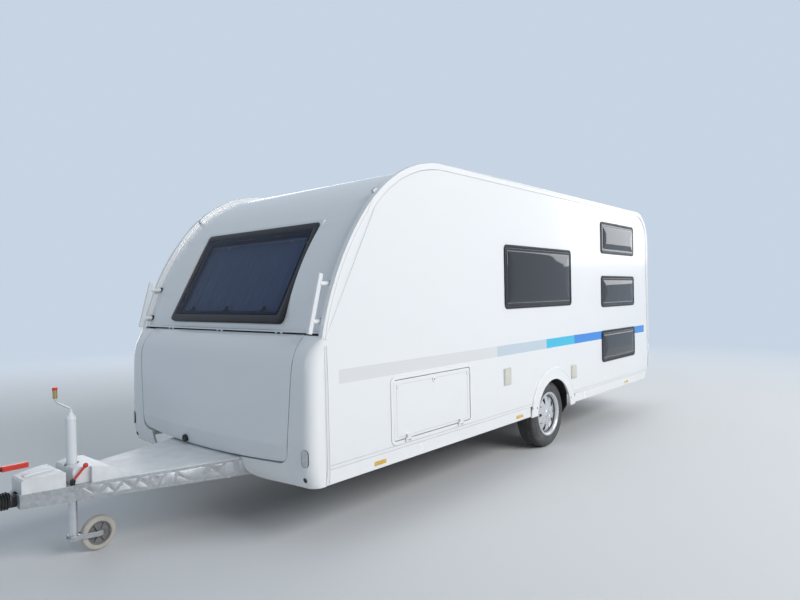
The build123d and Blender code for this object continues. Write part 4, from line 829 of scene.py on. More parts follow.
# Radius, distance out from the wall: rolled lip, face and the groove inside the edge
SPAT_SECTION = mm([
    (357, 0), (357, 11), (358.5, 13.2), (361.5, 14.2), (366, 14), (372, 12.6), (400, 12.2), (440, 11.6),
    (461.5, 11.2), (463, 9), (464.5, 9), (466, 11.2), (472.5, 10.4), (475, 8), (475, 0),
])
SPAT_STEPS = 72


def wheel_spat(side, shape):
    """Arch round the wheel, its two feet cut level."""
    feet = [asin((SPAT_LOW - AXLE_Z) / radius) for radius, out in SPAT_SECTION]
    rings = []
    for step in range(SPAT_STEPS + 1):
        ring = []
        for foot, (radius, out) in zip(feet, SPAT_SECTION):
            angle = foot + (pi - 2 * foot) * step / SPAT_STEPS
            ring.append(at(radius * cos(angle), side * (WALL_SKIN + out), AXLE_Z + radius * sin(angle)))
        rings.append(ring)
    shape.skin(rings)


class CARAVAN_OT_arches(bpy.types.Operator):
    """Makes the arches round the wheels, with their screws"""

    bl_idname = "caravan.arches"
    bl_label = "Wheel arches"

    def execute(self, context):
        shape = Shape()
        spots, foot_spots, notches = [], [], []
        for side in (-1, 1):
            wheel_spat(side, shape)
            spots += facing_out(side, SPAT_SCREWS, SPAT_SCREW_OUT)
            foot_spots += facing_out(side, FOOT_SCREWS, SPAT_SCREW_OUT)
            for end in (-1, 1):
                notches.append(on_wall(side, [(end * forward, up) for forward, up in SPAT_NOTCH], 0.0122))
        shape.piece("grooved_wheel_spats", "white_trim", angle=30, replaces=["wheel_spats"])
        screw = {"Radius": context.scene.caravan_sizes.screw_radius, "Height": SPAT_SCREW_HEIGHT}
        fasteners("spat_screws", spots, "white_trim", **screw)
        screw["Radius"] = FOOT_SCREW_RADIUS
        fasteners("spat_foot_screws", foot_spots, "black_plastic", **screw)
        beads("spat_notches", notches, "black_plastic", Radius=SPAT_NOTCH_RADIUS)
        return {"FINISHED"}


# Screws on the arches, near their edges and in their feet, by their places forward and up
SPAT_SCREWS = mm([(442, 430), (250, 648), (-250, 648), (0, 745), (-442, 430)])
FOOT_SCREWS = mm([(371, 456), (-365, 456)])
FOOT_SCREW_RADIUS = 0.0062
SPAT_SCREW_HEIGHT = 0.0024
SPAT_SCREW_OUT = 0.0118
# The notch in the arch's feet, where the skirt's upper edge meets them
SPAT_NOTCH = mm([(460, 486), (458, 461), (446, 458)])
SPAT_NOTCH_RADIUS = 0.0022


# Wheels

# Steps round the wheels' turned parts
HOOP_STEPS = 96
# From the outer face inward, radius: one half of the tyre's section, with its moulded rings
SIDEWALL = mm([
    (22, 190), (14, 199), (9.5, 212), (6.5, 222), (8.5, 223.5), (6, 226), (3, 240), (1.2, 252),
    (2.4, 253.5), (1, 255), (0, 264), (0.4, 274), (1.4, 282), (3, 283.5), (2.2, 285), (4.5, 293),
    (8.5, 303), (9.5, 304.5), (11, 304.5), (14, 312),
])
TREAD = mm([
    (19, 319), (28, 324.5), (44, 329), (47.5, 329.2), (49, 323), (56, 323), (57.5, 331), (82, 333.5),
    (83.5, 327), (91, 327), (92.5, 334),
])
BLOCK_STEPS = (0.0, 0.4, 0.78, 0.84, 0.94)


def wheel_point(side, angle, inward, radius):
    """A point of a wheel, from its angle, its distance inside the tyre's face and its radius."""
    return at(radius * cos(angle), side * (TYRE_OUT - inward), AXLE_Z + radius * sin(angle))


def tyre(side, node, body):
    """Road tyre with moulded rings on its sidewalls and a cut tread."""
    sizes = bpy.context.scene.caravan_sizes
    width = TYRE_OUT - TYRE_IN
    half = SIDEWALL + TREAD
    section = half + [(width - inward, radius) for inward, radius in reversed(half)]
    rings = []
    for pitch in range(sizes.tread_pitches):
        for index, step in enumerate(BLOCK_STEPS):
            angle = tau * (pitch + step) / sizes.tread_pitches
            ring = []
            for inward, radius in section:
                slant = (abs(inward - width / 2) / width) * 0.14
                if radius > 0.316 and index >= 3:
                    radius = min(radius, 0.334 - sizes.tread_depth - abs(inward - width / 2) * 0.03)
                ring.append(wheel_point(side, angle + slant, inward, radius))
            rings.append(ring)
    return Shape().loop(rings).piece("road_" + node, "tyre_rubber", body, angle=28, replaces=[node])


SPOKE_PAIRS = 5
COVER_RINGS = mm([52, 60, 72, 86, 98, 106, 114, 124, 136, 148, 158, 166, 172, 178])
# How far inside the tyre's face the cover's edge lies
COVER_DEPTH = 0.042
COVER_THICK = 0.006
# Steps across half the slot of a sector, and across the spoke after it
SLOT_STEPS = [-1.0, 0.0, 1.0]
SPOKE_STEPS = [0.2, 0.5, 0.8]
# Radius and rise of the hub: a raised ring, the dip inside it and a shallow dome
HUB_PROFILE = mm([(47, 24.5), (43, 28.5), (38, 29), (35, 25.5), (31, 25), (22, 27.5), (10, 29), (2, 29.2)])
# Radius and rise of the lip: out to the rim and back to the tyre's bead
LIP_PROFILE = mm([
    (182, 0), (184, 6), (187, 16), (190, 26), (196, 34), (203, 39), (212, 40.5), (219, 38.5), (220.5, 34),
    (216, 29),
])


def cover_rise(radius):
    """How far the wheel cover stands out of its rim at a radius."""
    return 0.024 * (1 - (radius / 0.182) ** 2)


def slot_half(radius, wide):
    """Half the angle of a slot at a radius, closing at both of its ends."""
    start, end = (0.098, 0.1725) if wide else (0.124, 0.1725)
    if not start < radius < end:
        return 0.0
    share = (radius - start) / (end - start)
    full = (0.062 if wide else 0.03) + (0.105 if wide else 0.035) * share
    return full * min(1.0, 4.2 * share, 7.0 * (1 - share)) ** 0.5


def cover_ring(radius):
    """Angle and rise of the cover's corners at a radius: three over each slot, three on each spoke."""
    ring = []
    for sector in range(2 * SPOKE_PAIRS):
        middle, next_middle = (tau * place / (2 * SPOKE_PAIRS) for place in (sector, sector + 1))
        here = max(slot_half(radius, sector % 2 == 0), 0.004)
        following = next_middle - max(slot_half(radius, sector % 2 == 1), 0.004)
        ring += [(middle + step * here, 0.0) for step in SLOT_STEPS]
        for step in SPOKE_STEPS:
            angle = middle + here + step * (following - middle - here)
            ring.append((angle, 0.0022 * (1 - abs(step - 0.5) * 3)))
    return ring


def wheel_cover(side, body):
    """Silver cover with five pairs of spokes and the open slots between them."""
    shape = Shape()

    def drawn(ring, radius, rise, fade=0.0):
        return shape.ring(
            [wheel_point(side, angle, COVER_DEPTH - rise - high * fade, radius) for angle, high in ring]
        )

    rings = [cover_ring(radius) for radius in COVER_RINGS]
    made = []
    for radius, ring in zip(COVER_RINGS, rings):
        fade = min(1.0, max(0.0, (radius - 0.06) / 0.03), max(0.0, (0.178 - radius) / 0.02))
        made.append(drawn(ring, radius, cover_rise(radius), fade))
    for inner, outer, first, second in zip(COVER_RINGS, COVER_RINGS[1:], made, made[1:]):
        for column in range(len(first)):
            sector, place = divmod(column, len(SLOT_STEPS) + len(SPOKE_STEPS))
            wide = sector % 2 == 0
            if place < 2 and max(slot_half(inner, wide), slot_half(outer, wide)) > 0:
                continue
            after = (column + 1) % len(first)
            shape.mesh.faces.new((first[column], first[after], second[after], second[column]))
    last = made[0]
    for radius, rise in HUB_PROFILE:
        ring = drawn(rings[0], radius, rise)
        shape.bridge(ring, last)
        last = ring
    shape.mesh.faces.new(last)
    last = made[-1]
    for radius, rise in LIP_PROFILE:
        ring = drawn(rings[-1], radius, rise)
        shape.bridge(last, ring)
        last = ring
    bmesh.ops.recalc_face_normals(shape.mesh, faces=shape.mesh.faces)
    if shape.mesh.faces[0].normal.y * side < 0:
        bmesh.ops.reverse_faces(shape.mesh, faces=shape.mesh.faces)
    data = thickened(poured(shape.mesh, "wheel_cover"), COVER_THICK)
    return settle(data, "wheel_cover_" + body, "rim_silver", body, 0.0011, 40, [])


def wheel_well(side, node, body):
    """Dark barrel of the rim behind its cover, and the disc across it."""
    width = TYRE_OUT - TYRE_IN
    barrel = [
        (0.03, 0.1895), (0.03, 0.181), (0.06, 0.176), (0.11, 0.172), (0.15, 0.178),
        (width - 0.022, 0.181), (width - 0.008, 0.218), (width - 0.011, 0.2195),
        (width - 0.024, 0.1895),
    ]
    disc = [
        (0.052, 0.176), (0.052, 0.062), (0.064, 0.058), (0.064, 0.02), (0.07, 0.02), (0.07, 0.05),
        (0.06, 0.168), (0.062, 0.176),
    ]
    shape = Shape()
    for section in (barrel, disc):
        shape.hoop(
            section, HOOP_STEPS, lambda angle, inward, radius: wheel_point(side, angle, inward, radius)
        )
    return shape.piece("rim_barrel_" + body, "drum_metal", body, 0.0012, replaces=[node])


def wheel_details(side, body):
    """Valve and the five heads of the wheel bolts in the cover's hub."""
    shape = Shape()
    axis = (0, side, 0)
    for bolt in range(5):
        middle = wheel_point(side, tau * (bolt + 0.5) / 5, 0.0245, 0.03)
        shape.lathe([(-0.004, 0.005), (0.0015, 0.005), (0.003, 0.0036)], middle, axis, 6)
    stem = [(-0.02, 0.003), (0.006, 0.003), (0.006, 0.0045), (0.016, 0.0045), (0.018, 0.003)]
    shape.lathe(stem, wheel_point(side, tau * 0.05, 0.036, 0.168), axis, 16)
    return shape.piece("wheel_bolts_" + body, "drum_metal", body, 0.0005)


class CARAVAN_OT_wheels(bpy.types.Operator):
    """Makes the road tyres with their tread and the spoked covers of the wheels"""

    bl_idname = "caravan.wheels"
    bl_label = "Road wheels"

    def execute(self, context):
        for side, name in ((1, "left"), (-1, "right")):
            body = "wheel_" + name
            tyre(side, "tyre_" + name, body)
            wheel_cover(side, body)
            wheel_well(side, "rim_" + name, body)
            wheel_details(side, body)
            soften("drum_" + name, "drum_metal", 0.003)
        return {"FINISHED"}


# Windows

FRAME = 0.028
FRAME_ROUND = 0.045
# Inset from the frame's edge, height over the wall
FRAME_SECTION = mm([
    (0, -1), (0, 7.5), (1.2, 9.4), (3.4, 10), (21, 10), (23.2, 9.2), (24, 7), (26.2, 6.4), (28, 7.2),
    (28.4, 4), (28.4, -30), (15, -30), (15, -1),
])
# Inset from the pane's edge, height over the wall: edge, flat band, groove of the inner skin
PANE_SECTION = mm([
    (0.6, -6), (0.6, 6), (1.4, 8.6), (3.4, 10), (20, 10.4), (22.2, 9.8), (24.4, 8.8), (26.6, 9.8),
    (29, 11.2), (34, 12.4), (42, 13.4), (54, 14.4), (70, 15.4), (88, 16.2), (108, 16.8),
])


class Pane:
    """A rounded opening with its own directions: across, up and out of the wall."""

    def __init__(self, middle, width, height, across, up, out):
        self.middle = Vector(middle)
        self.width = width
        self.height = height
        self.across = Vector(across)
        self.up = Vector(up)
        self.out = Vector(out)

    def grown(self, margin):
        """The same opening, larger by a margin all round."""
        width, height = self.width + 2 * margin, self.height + 2 * margin
        return Pane(self.middle, width, height, self.across, self.up, self.out)

    def point(self, across, up, out):
        return self.middle + self.across * across + self.up * up + self.out * out

    def ring(self, inset, out, radius, crown=0.0, steps=6):
        """Outline at an inset and a height, crowned towards the middle."""
        wide = self.width - 2 * inset
        high = self.height - 2 * inset
        round_off = max(min(radius - inset, wide / 2, high / 2), 0.0005)
        points = []
        for across, up in rounded(wide, high, round_off, steps):
            share = (1 - (2 * across / self.width) ** 4) * (1 - (2 * up / self.height) ** 4)
            points.append(self.point(across, up, out + crown * share))
        return points

    def rings(self, section, radius):
        """Outlines at the insets and heights of a section."""
        return [self.ring(inset, out, radius) for inset, out in section]

    def plate(self, across, up, out, width, height, radius):
        """Outline of a small rounded plate beside the opening's middle."""
        return [self.point(across + x, up + z, out) for x, z in rounded(width, height, radius, 4)]


def wall_pane(low, high, skin=WALL_SKIN):
    """The opening that a box on a side wall fills, at the skin's distance from the middle."""
    side = 1 if low.y + high.y > 0 else -1
    middle = Vector(((low.x + high.x) / 2, side * skin, (low.z + high.z) / 2))
    return Pane(middle, high.x - low.x, high.z - low.z, (1, 0, 0), (0, 0, 1), (0, side, 0))


def rear_pane(middle, width, height, side=1):
    """An opening in the rear, counted from the middle outward on its side."""
    return Pane(middle, width, height, (0, side, 0), (0, 0, 1), (-1, 0, 0))


def side_panes():
    """The side windows, from the boxes of the CAD's panes."""
    boxes = islands("window_panes")
    return [wall_pane(low, high) for low, high in boxes if abs(low.y) >= 1.0 and low.y * high.y > 0]


# How far each ring of a pane lies inside the last one, beyond its border
PANE_STEP = 0.02
CLOTH_THICK = 0.0015
# How far out from the wall's skin the blinds hang
BLIND_OUT = -0.036


def bulged_pane(pane, shape, section, radius, bulge):
    """A closed sheet of acrylic with a grooved border and a crowned middle."""
    deepest, face = section[-1]
    rings = [pane.ring(*section[0], radius)]
    for inset, out in section[1:]:
        rings.append(pane.ring(inset, out, radius, bulge * (inset / deepest) if inset > 0.02 else 0.0))
    smallest = min(pane.width, pane.height) / 2 - 0.004
    inset = deepest + PANE_STEP
    while inset < smallest:
        rings.append(pane.ring(inset, face, radius, bulge))
        inset += PANE_STEP
    rings.append(pane.ring(smallest, face, radius, bulge))
    return shape.skin(rings)


def pleated_blind(pane, shape, depth, pitch, fold=0.005):
    """A blind of small level pleats behind a pane."""
    rows = int((pane.height + 0.03) / pitch)
    half = pane.width / 2 + 0.014
    rings = []
    for row in range(rows + 1):
        up = row * pitch - rows * pitch / 2
        out = depth - (fold if row % 2 else 0.0)
        ends = ((-half, out), (half, out), (half, out - CLOTH_THICK), (-half, out - CLOTH_THICK))
        rings.append([pane.point(across, up, back) for across, back in ends])
    shape.skin(rings)


FRONT_LOW = (3.084, 1.403)
FRONT_HIGH = (2.697, 2.103)
FRONT_HALF = 0.712
FRONT_BORDER = 0.055
FRONT_ROUND = 0.034
# Corner radius of the front window's glass
GLASS_ROUND = 0.02
# Places across the front window of the catches on its bar and of the studs at its top
CATCHES = (-0.46, 0.0, 0.46)
STUDS = (-0.357, 0.441)
FRONT_FRAME_SECTION = mm([
    (0, -60), (0, -4), (1.6, -1.6), (4.2, -0.6), (50, -0.6), (52.6, -2), (54, -5), (55.6, -4), (55.6, -42),
    (30, -42), (14, -60),
])
# Black band printed round the back of the front pane
FRONT_PRINT_SECTION = mm([(-3, -8.5), (-3, -7), (26, -7), (26, -8.5)])
FRONT_PANE_SECTION = mm([
    (0.4, -4.5), (0.4, -3), (1.6, 0), (5, 1.4), (23, 1.8), (25.2, 1), (26.8, 0.4), (28.6, 1.2), (31, 2),
    (40, 2.6), (60, 3.2), (90, 3.7),
])


def front_pane():
    """The front window's opening, in its leaning plane."""
    low, high = at(FRONT_LOW[0], 0, FRONT_LOW[1]), at(FRONT_HIGH[0], 0, FRONT_HIGH[1])
    up = (high - low).normalized()
    across = Vector((0, 1, 0))
    return Pane((low + high) / 2, 2 * FRONT_HALF, (high - low).length, across, up, across.cross(up))


def curtain(pane, shape, start, end, depth, seed):
    """One half of a curtain, in soft folds that gather towards its rail."""
    columns = int(abs(end - start) / 0.008)
    rows = 14
    rings = []
    for row in range(rows + 1):
        up = -pane.height / 2 + 0.03 + (pane.height - 0.06) * row / rows
        drape = 0.55 + 0.45 * (1 - row / rows)
        line = []
        for column in range(columns + 1):
            share = column / columns
            fold = sin(share * 52.0 + seed) * 0.5 + sin(share * 23.0 + seed * 2 + row * 0.05) * 0.5
            line.append(pane.point(start + (end - start) * share, up, depth + 0.0075 * fold * drape))
        rings.append(line + [point - pane.out * CLOTH_THICK for point in reversed(line)])
    shape.skin(rings)


class CARAVAN_OT_windows(bpy.types.Operator):
    """Makes the windows' frames, bulged panes, blinds and curtains"""

    bl_idname = "caravan.windows"
    bl_label = "Windows"

    def execute(self, context):
        sizes = context.scene.caravan_sizes
        frames, panes, blinds = Shape(), Shape(), Shape()
        windscreen, drapes = Shape(), Shape()
        for pane in side_panes():
            frames.loop(pane.grown(FRAME).rings(FRAME_SECTION, FRAME_ROUND))
            bulged_pane(pane, panes, PANE_SECTION, FRAME_ROUND - FRAME, sizes.pane_bulge)
            pleated_blind(pane, blinds, BLIND_OUT, sizes.pleat)
        front = front_pane()
        frames.loop(front.rings(FRONT_FRAME_SECTION, FRONT_ROUND))
        glass = front.grown(-FRONT_BORDER)
        frames.loop(glass.rings(FRONT_PRINT_SECTION, GLASS_ROUND))
        frames.piece("finished_window_frames", "frame_black", angle=40, replaces=["window_frames"])
        panes.piece("bulged_window_panes", "tinted_pane", angle=24, replaces=["window_panes"])
        blinds.piece("pleated_blinds", "blind_cloth", replaces=["blinds"])
        bulged_pane(glass, windscreen, FRONT_PANE_SECTION, GLASS_ROUND, 0.0)
        windscreen.piece("front_window_pane", "front_tint", angle=24)
        curtain(glass, drapes, -glass.width / 2 + 0.002, 0.006, -0.052, 0.4)
        curtain(glass, drapes, 0.0, glass.width / 2 - 0.002, -0.047, 2.1)
        drapes.piece("front_curtains", "curtain_cloth", angle=60)
        front_catches(glass)
        return {"FINISHED"}


def front_catches(glass):
    """Bar along the foot of the front window with its three catches, and two studs at the top."""
    catches, studs = Shape(), Shape()
    rail_up = -glass.height / 2 + 0.03
    bar = [glass.point(side * (glass.width / 2 - 0.06), rail_up, -0.026) for side in (-1, 1)]
    catches.tube(bar, 0.007, 10, 1.8)
    for across in CATCHES:
        catches.prism(glass.plate(across, rail_up, -0.022, 0.085, 0.03, 0.008), glass.out * 0.008)
        catches.prism(glass.plate(across, rail_up + 0.018, -0.022, 0.022, 0.05, 0.007), glass.out * 0.012)
    catches.piece("front_window_catches", "frame_black", bevel=0.0012)
    for across in STUDS:
        stud = glass.point(across, glass.height / 2 - 0.075, -0.024)
        studs.lathe([(0, 0.009), (0.004, 0.009), (0.006, 0.006)], stud, glass.out, 20)
    high = glass.height / 2 - 0.06
    rail = [glass.point(side * (glass.width / 2 - 0.03), high, -0.03) for side in (-1, 1)]
    studs.tube(rail, 0.003, 8)
    studs.piece("front_window_studs", "white_trim", bevel=0.0008)


# Front locker lid

LID_LOW = 0.5
LID_THICK = 0.025
# Height, half-width, forward at the middle, forward at the edges
LID_ROWS = mm([
    (1325, 960, 3078, 3076), (1300, 962, 3115, 3108), (1275, 963, 3143, 3132), (1250, 964, 3166, 3152),
    (1220, 966, 3187, 3169), (1190, 968, 3201, 3184), (1150, 968, 3213, 3195), (1100, 967, 3221, 3202),
    (1000, 959, 3231, 3206), (900, 951, 3240, 3209), (800, 943, 3249, 3211), (720, 936, 3256, 3213),
    (650, 930, 3263, 3214), (636, 929, 3265.5, 3215.5), (624, 928, 3266.2, 3216), (612, 927, 3265, 3215),
    (575, 925, 3259, 3211.5), (550, 921, 3255, 3209), (530, 910, 3251.5, 3206.5), (515, 895, 3248, 3204),
    (506, 879, 3245, 3202), (501.5, 865, 3243, 3200), (500, 850, 3240, 3198),
])
# The lid's lower edge rises by this much towards its corners
LID_LIFT = 0.022
LID_CREASE = 0.65
LID_COLUMNS = 56


def lifted(out, height):
    """A height on the lid below its crease, with the rise of its lower edge."""
    share = min(1.0, max(0.0, (LID_CREASE - height) / (LID_CREASE - LID_LOW)))
    return height + LID_LIFT * (out / 0.9) ** 2 * share


def lid_point(row, share):
    """A point of the lid's face: a row, and -1 to 1 across it."""
    height, half, middle, edge = row
    return at(edge + (middle - edge) * (1 - share * share), half * share, lifted(half * share, height))


# Distances left of the middle of the lid's hinges, and half their width
LID_HINGES = (-0.7, 0.0, 0.7)
LID_HINGE_HALF = 0.017


def locker_lid():
    """Bowed lid with a crease above its foot, and the hinges on its upper edge."""
    shares = [2 * column / LID_COLUMNS - 1 for column in range(LID_COLUMNS + 1)]
    rings = []
    for row in LID_ROWS:
        face = [lid_point(row, share) for share in shares]
        rings.append(face + [point - Vector((LID_THICK, 0, 0)) for point in reversed(face)])
    hinges = Shape()
    for left in LID_HINGES:
        low, high = left - LID_HINGE_HALF, left + LID_HINGE_HALF
        hinges.lathe([(low, 0.005), (high, 0.005)], at(3.078, 0, 1.331), (0, 1, 0), 20)
        hinges.block(at(3.0745, low, 1.32), at(3.0775, high, 1.331))
    hinges.piece("lid_hinges", "frame_black", "front_lid", 0.0006)
    lid = Shape().skin(rings)
    return lid.piece("bowed_locker_lid", "white_lid", "front_lid", 0.0035, 30, ["locker_lid"], 3)


# Place of the lid's lock, and its barrel: along, radius
LID_LOCK = (3.252, -0.203, 0.536)
LID_BARREL = mm([(-6, 27), (15, 27), (19.5, 24.5), (20.5, 17), (18, 15.5)])


def lid_lock():
    """Round lock low on the lid, with its keyway."""
    middle = at(*LID_LOCK)
    lock = Shape().lathe(LID_BARREL, middle, (1, 0, 0), 36)
    lock.block(middle + Vector((0.017, -0.0016, -0.0085)), middle + Vector((0.0192, 0.0016, 0.0085)))
    return lock.piece("lid_lock", "frame_black", "front_lid", 0.0006)


# Front corners beside the lid

LID_GAP = 0.008
LID_ROUND = 0.075
LID_ROUND_PLACE = (0.85, 0.575)
CORNER_SIDE = 3.0865
CORNER_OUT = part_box("front_corners")[1].y
# Radius of the corners' upright edges, read at this distance from the middle
CORNER_TURN = 0.07
TURN_OUT = 1.05
# Height, and how far forward the corners' face reaches there
CORNER_PROFILE = mm([
    (366, 3160), (380, 3172), (400, 3184), (430, 3195), (460, 3202), (500, 3209), (545, 3213), (600, 3214),
    (800, 3211), (1000, 3206), (1100, 3202), (1150, 3195), (1190, 3184), (1220, 3170), (1250, 3153),
    (1275, 3133), (1298, 3110), (1312, 3096), (1322, 3089.5),
])
CORNER_HEIGHTS = mm([
    620, 680, 750, 830, 920, 1000, 1060, 1100, 1130, 1160, 1190, 1220, 1250, 1275, 1298, 1312, 1322,
])
FOOT_SHARES = [0.0, 0.03, 0.08, 0.16, 0.28, 0.42, 0.56, 0.7, 0.84, 0.94, 1.0]
FACE_SHARES = [0.0, 0.1, 0.25, 0.45, 0.65, 0.85, 1.0]
# Distance from the middle, and the height of the foot's edge there, for the left and the right corner
FOOT_EDGES = {
    1: mm([
        (470, 478), (471.5, 460), (476, 438), (486, 416), (512, 391), (555, 377), (630, 370), (780, 373),
        (933, 379), (1150, 388),
    ]),
    -1: mm([(780, 392), (784, 381), (794, 373), (933, 379), (1150, 388)]),
}
FOOT_PLACES = {
    1: mm([800, 740, 680, 630, 590, 555, 530, 512, 498, 486, 480, 476, 473, 471.5, 470]),
    -1: mm([830, 810, 794, 788, 784, 780]),
}
VALANCE_BOW = 0.034


def between(table, place):
    """A value read off a table of pairs, straight from one to the next."""
    for (low, first), (high, last) in zip(table, table[1:]):
        if place <= high:
            return first + (last - first) * max(0.0, (place - low) / (high - low))
    return table[-1][1]


def gap_out(height):
    """Distance from the middle of a corner's edge beside the lid."""
    return between([(row[0], row[1]) for row in reversed(LID_ROWS)], height) + LID_GAP


def gap_height(out):
    """Height of a corner's edge under the lid, round the lid's own corner."""
    middle, centre = LID_ROUND_PLACE
    reach = LID_ROUND + LID_GAP
    drop = max(0.0, reach**2 - (out - middle) ** 2) ** 0.5 if out > middle else reach
    return lifted(out, centre - drop)


def corner_face(side, out, height):
    """A point of a corner's face, which bows forward under the lid."""
    bow = VALANCE_BOW * max(0.0, 1 - (out / 0.933) ** 2)
    return at(between(CORNER_PROFILE, height) + bow, side * out, height)


def corner_turn(height):
    """Radius of a corner's upright edge."""
    return max(0.0015, min(CORNER_TURN, between(CORNER_PROFILE, height) - CORNER_SIDE - 0.002))


def corner_row(side, start, level):
    """One level of a corner over its face, its rounded edge and its side: each point with its way in."""
    turn = corner_turn(level(TURN_OUT))
    flat = CORNER_OUT - turn
    row = []
    for share in FACE_SHARES:
        out = start + (flat - start) * share
        row.append((corner_face(side, out, level(out)), Vector((-1, 0, 0))))
    for step in range(1, 10):
        angle = radians(10 * step)
        out = flat + turn * sin(angle)
        point = corner_face(side, out, level(out)) - Vector((turn * (1 - cos(angle)), 0, 0))
        row.append((point, Vector((-cos(angle), -side * sin(angle), 0))))
    edge = row[-1][0]
    back = at(CORNER_SIDE, 0, 0).x
    for share in (0.5, 1.0):
        row.append((Vector((edge.x + (back - edge.x) * share, edge.y, edge.z)), Vector((0, -side, 0))))
    return row


CORNER_THICK = 0.004
# Radius of the black seal in the gap beside the lid; besides being a seal it darkens the gap as painted shade
LID_SEAL = 0.0036
# How deep the corners' edges are folded in: in the gap beside the lid, and along the foot
GAP_FOLD = Vector((0.04, 0, 0))
FOOT_FOLD = 0.018


def front_corner(side, seals):
    """A moulded corner: beside the lid, round its lower corner and on under it."""
    foot = FOOT_EDGES[side]
    start = LID_ROUND_PLACE[0] + LID_ROUND + LID_GAP
    join = gap_height(start)
    rows = []
    for share in FOOT_SHARES:
        rows.append(corner_row(side, start, lambda out: between(foot, out) * (1 - share) + join * share))
    for height in CORNER_HEIGHTS:
        rows.append(corner_row(side, gap_out(height), lambda out: height))
    sheet = Shape()
    sheet.skin([[point for point, inward in row] for row in rows], False)
    places = [LID_ROUND_PLACE[0] + (LID_ROUND + LID_GAP) * cos(radians(10 * step)) for step in range(10)]
    columns = []
    for out in places + FOOT_PLACES[side]:
        low, high = between(foot, out), gap_height(out)
        columns.append([corner_face(side, out, low + (high - low) * share) for share in FOOT_SHARES])
    sheet.skin(columns, False)
    gap = [row[0][0] for row in reversed(rows[len(FOOT_SHARES):])] + [column[-1] for column in columns]
    ends = columns[-1][-2::-1] + [column[0] for column in columns[-2:0:-1]]
    strip = [(point, point - GAP_FOLD) for point in gap]
    strip += [(point, point - Vector((FOOT_FOLD, 0, 0))) for point in ends]
    strip += [(point, point + inward * FOOT_FOLD) for point, inward in rows[0]]
    sheet.skin(strip, False)
    # Black seal line beside the lid: a seal, and painted shade that darkens the gap
    towards = Vector((-0.012, -side * LID_GAP / 2, 0))
    seals.append([point + towards for point in gap[: len(CORNER_HEIGHTS)]])
    return sheet.mesh


def front_corners():
    """Both front corners in one piece, and the black seals beside the lid, which also darken the gap as
    painted shade.
    """
    seals = []
    joined = bmesh.new()
    for side in (-1, 1):
        mesh = front_corner(side, seals)
        inside = at(2.9, side * 0.9, 0.9)
        bmesh.ops.remove_doubles(mesh, verts=mesh.verts, dist=2e-5)
        bmesh.ops.recalc_face_normals(mesh, faces=mesh.faces)
        ways = [face.normal.dot(face.calc_center_median() - inside) * face.calc_area() for face in mesh.faces]
        if sum(ways) < 0:
            bmesh.ops.reverse_faces(mesh, faces=mesh.faces)
        half = thickened(poured(mesh, "corner_wall"), CORNER_THICK, True)
        joined.from_mesh(half)
        bpy.data.meshes.remove(half)
    data = poured(joined, "moulded_corners")
    settle(data, "moulded_corners", "white_trim", "caravan", 0.0018, 40, ["front_corners"])
    beads("lid_seals_and_gap_shade", seals, "frame_black", Radius=LID_SEAL)


class CARAVAN_OT_front(bpy.types.Operator):
    """Makes the locker lid with its lock, the corners beside it and the black seals between, which also
    darken the gap as painted shade
    """

    bl_idname = "caravan.front"
    bl_label = "Front locker"

    def execute(self, context):
        locker_lid()
        lid_lock()
        front_corners()
        return {"FINISHED"}


# Grab handles


def surface(node, start, direction):
    """Where a line from a point meets a CAD node."""
    data = frame["nodes"][node].data
    corners = [corner.co for corner in data.vertices]
    tree = BVHTree.FromPolygons(corners, [face.vertices for face in data.polygons])
    place = tree.ray_cast(start, direction)[0]
    if place is None:
        raise RuntimeError("No surface of " + node + " in that direction")
    return place


def flat_bar(shape, foot, top, width, depth, round_off):
    """A flat bar with rounded edges and softened ends, its faces square to the side."""
    along = (top - foot).normalized()
    across = Vector((0, 1, 0))
    other = along.cross(across)
    length = (top - foot).length
    ends = ((0.0, 0.005), (0.0015, 0.002), (0.005, 0.0))
    rings = []
    for place, inset in ends + tuple((length - place, inset) for place, inset in reversed(ends)):
        outline = rounded(width - 2 * inset, depth - 2 * inset, max(round_off - inset, 0.001), 4)
        rings.append([foot + along * place + across * a + other * b for a, b in outline])
    shape.skin(rings)


# The collar round a front handle's foot, and the ring round a rear one's: along, radius
FRONT_COLLAR = mm([(-12, 20.5), (10.5, 20.5), (12.5, 19), (12.5, 16)])
REAR_COLLAR = mm([(-3, 16), (4, 16), (6, 13.5)])
FRONT_BAR = ((3.146, 1.336), (3.043, 1.716))
FRONT_BAR_SIDE = 1.085
FRONT_BAR_WIDTH = 0.026
FRONT_BAR_DEPTH = 0.034
FOOT_HEIGHTS = (1.412, 1.65)
FOOT_RADIUS = 0.0165
REAR_BAR = mm([(-2745, 1000), (-2790, 1000), (-2790, 1300), (-2745, 1300)])
REAR_BAR_SIDE = 1.045
REAR_BAR_RADIUS = 0.0078
REAR_BAR_BEND = 0.022


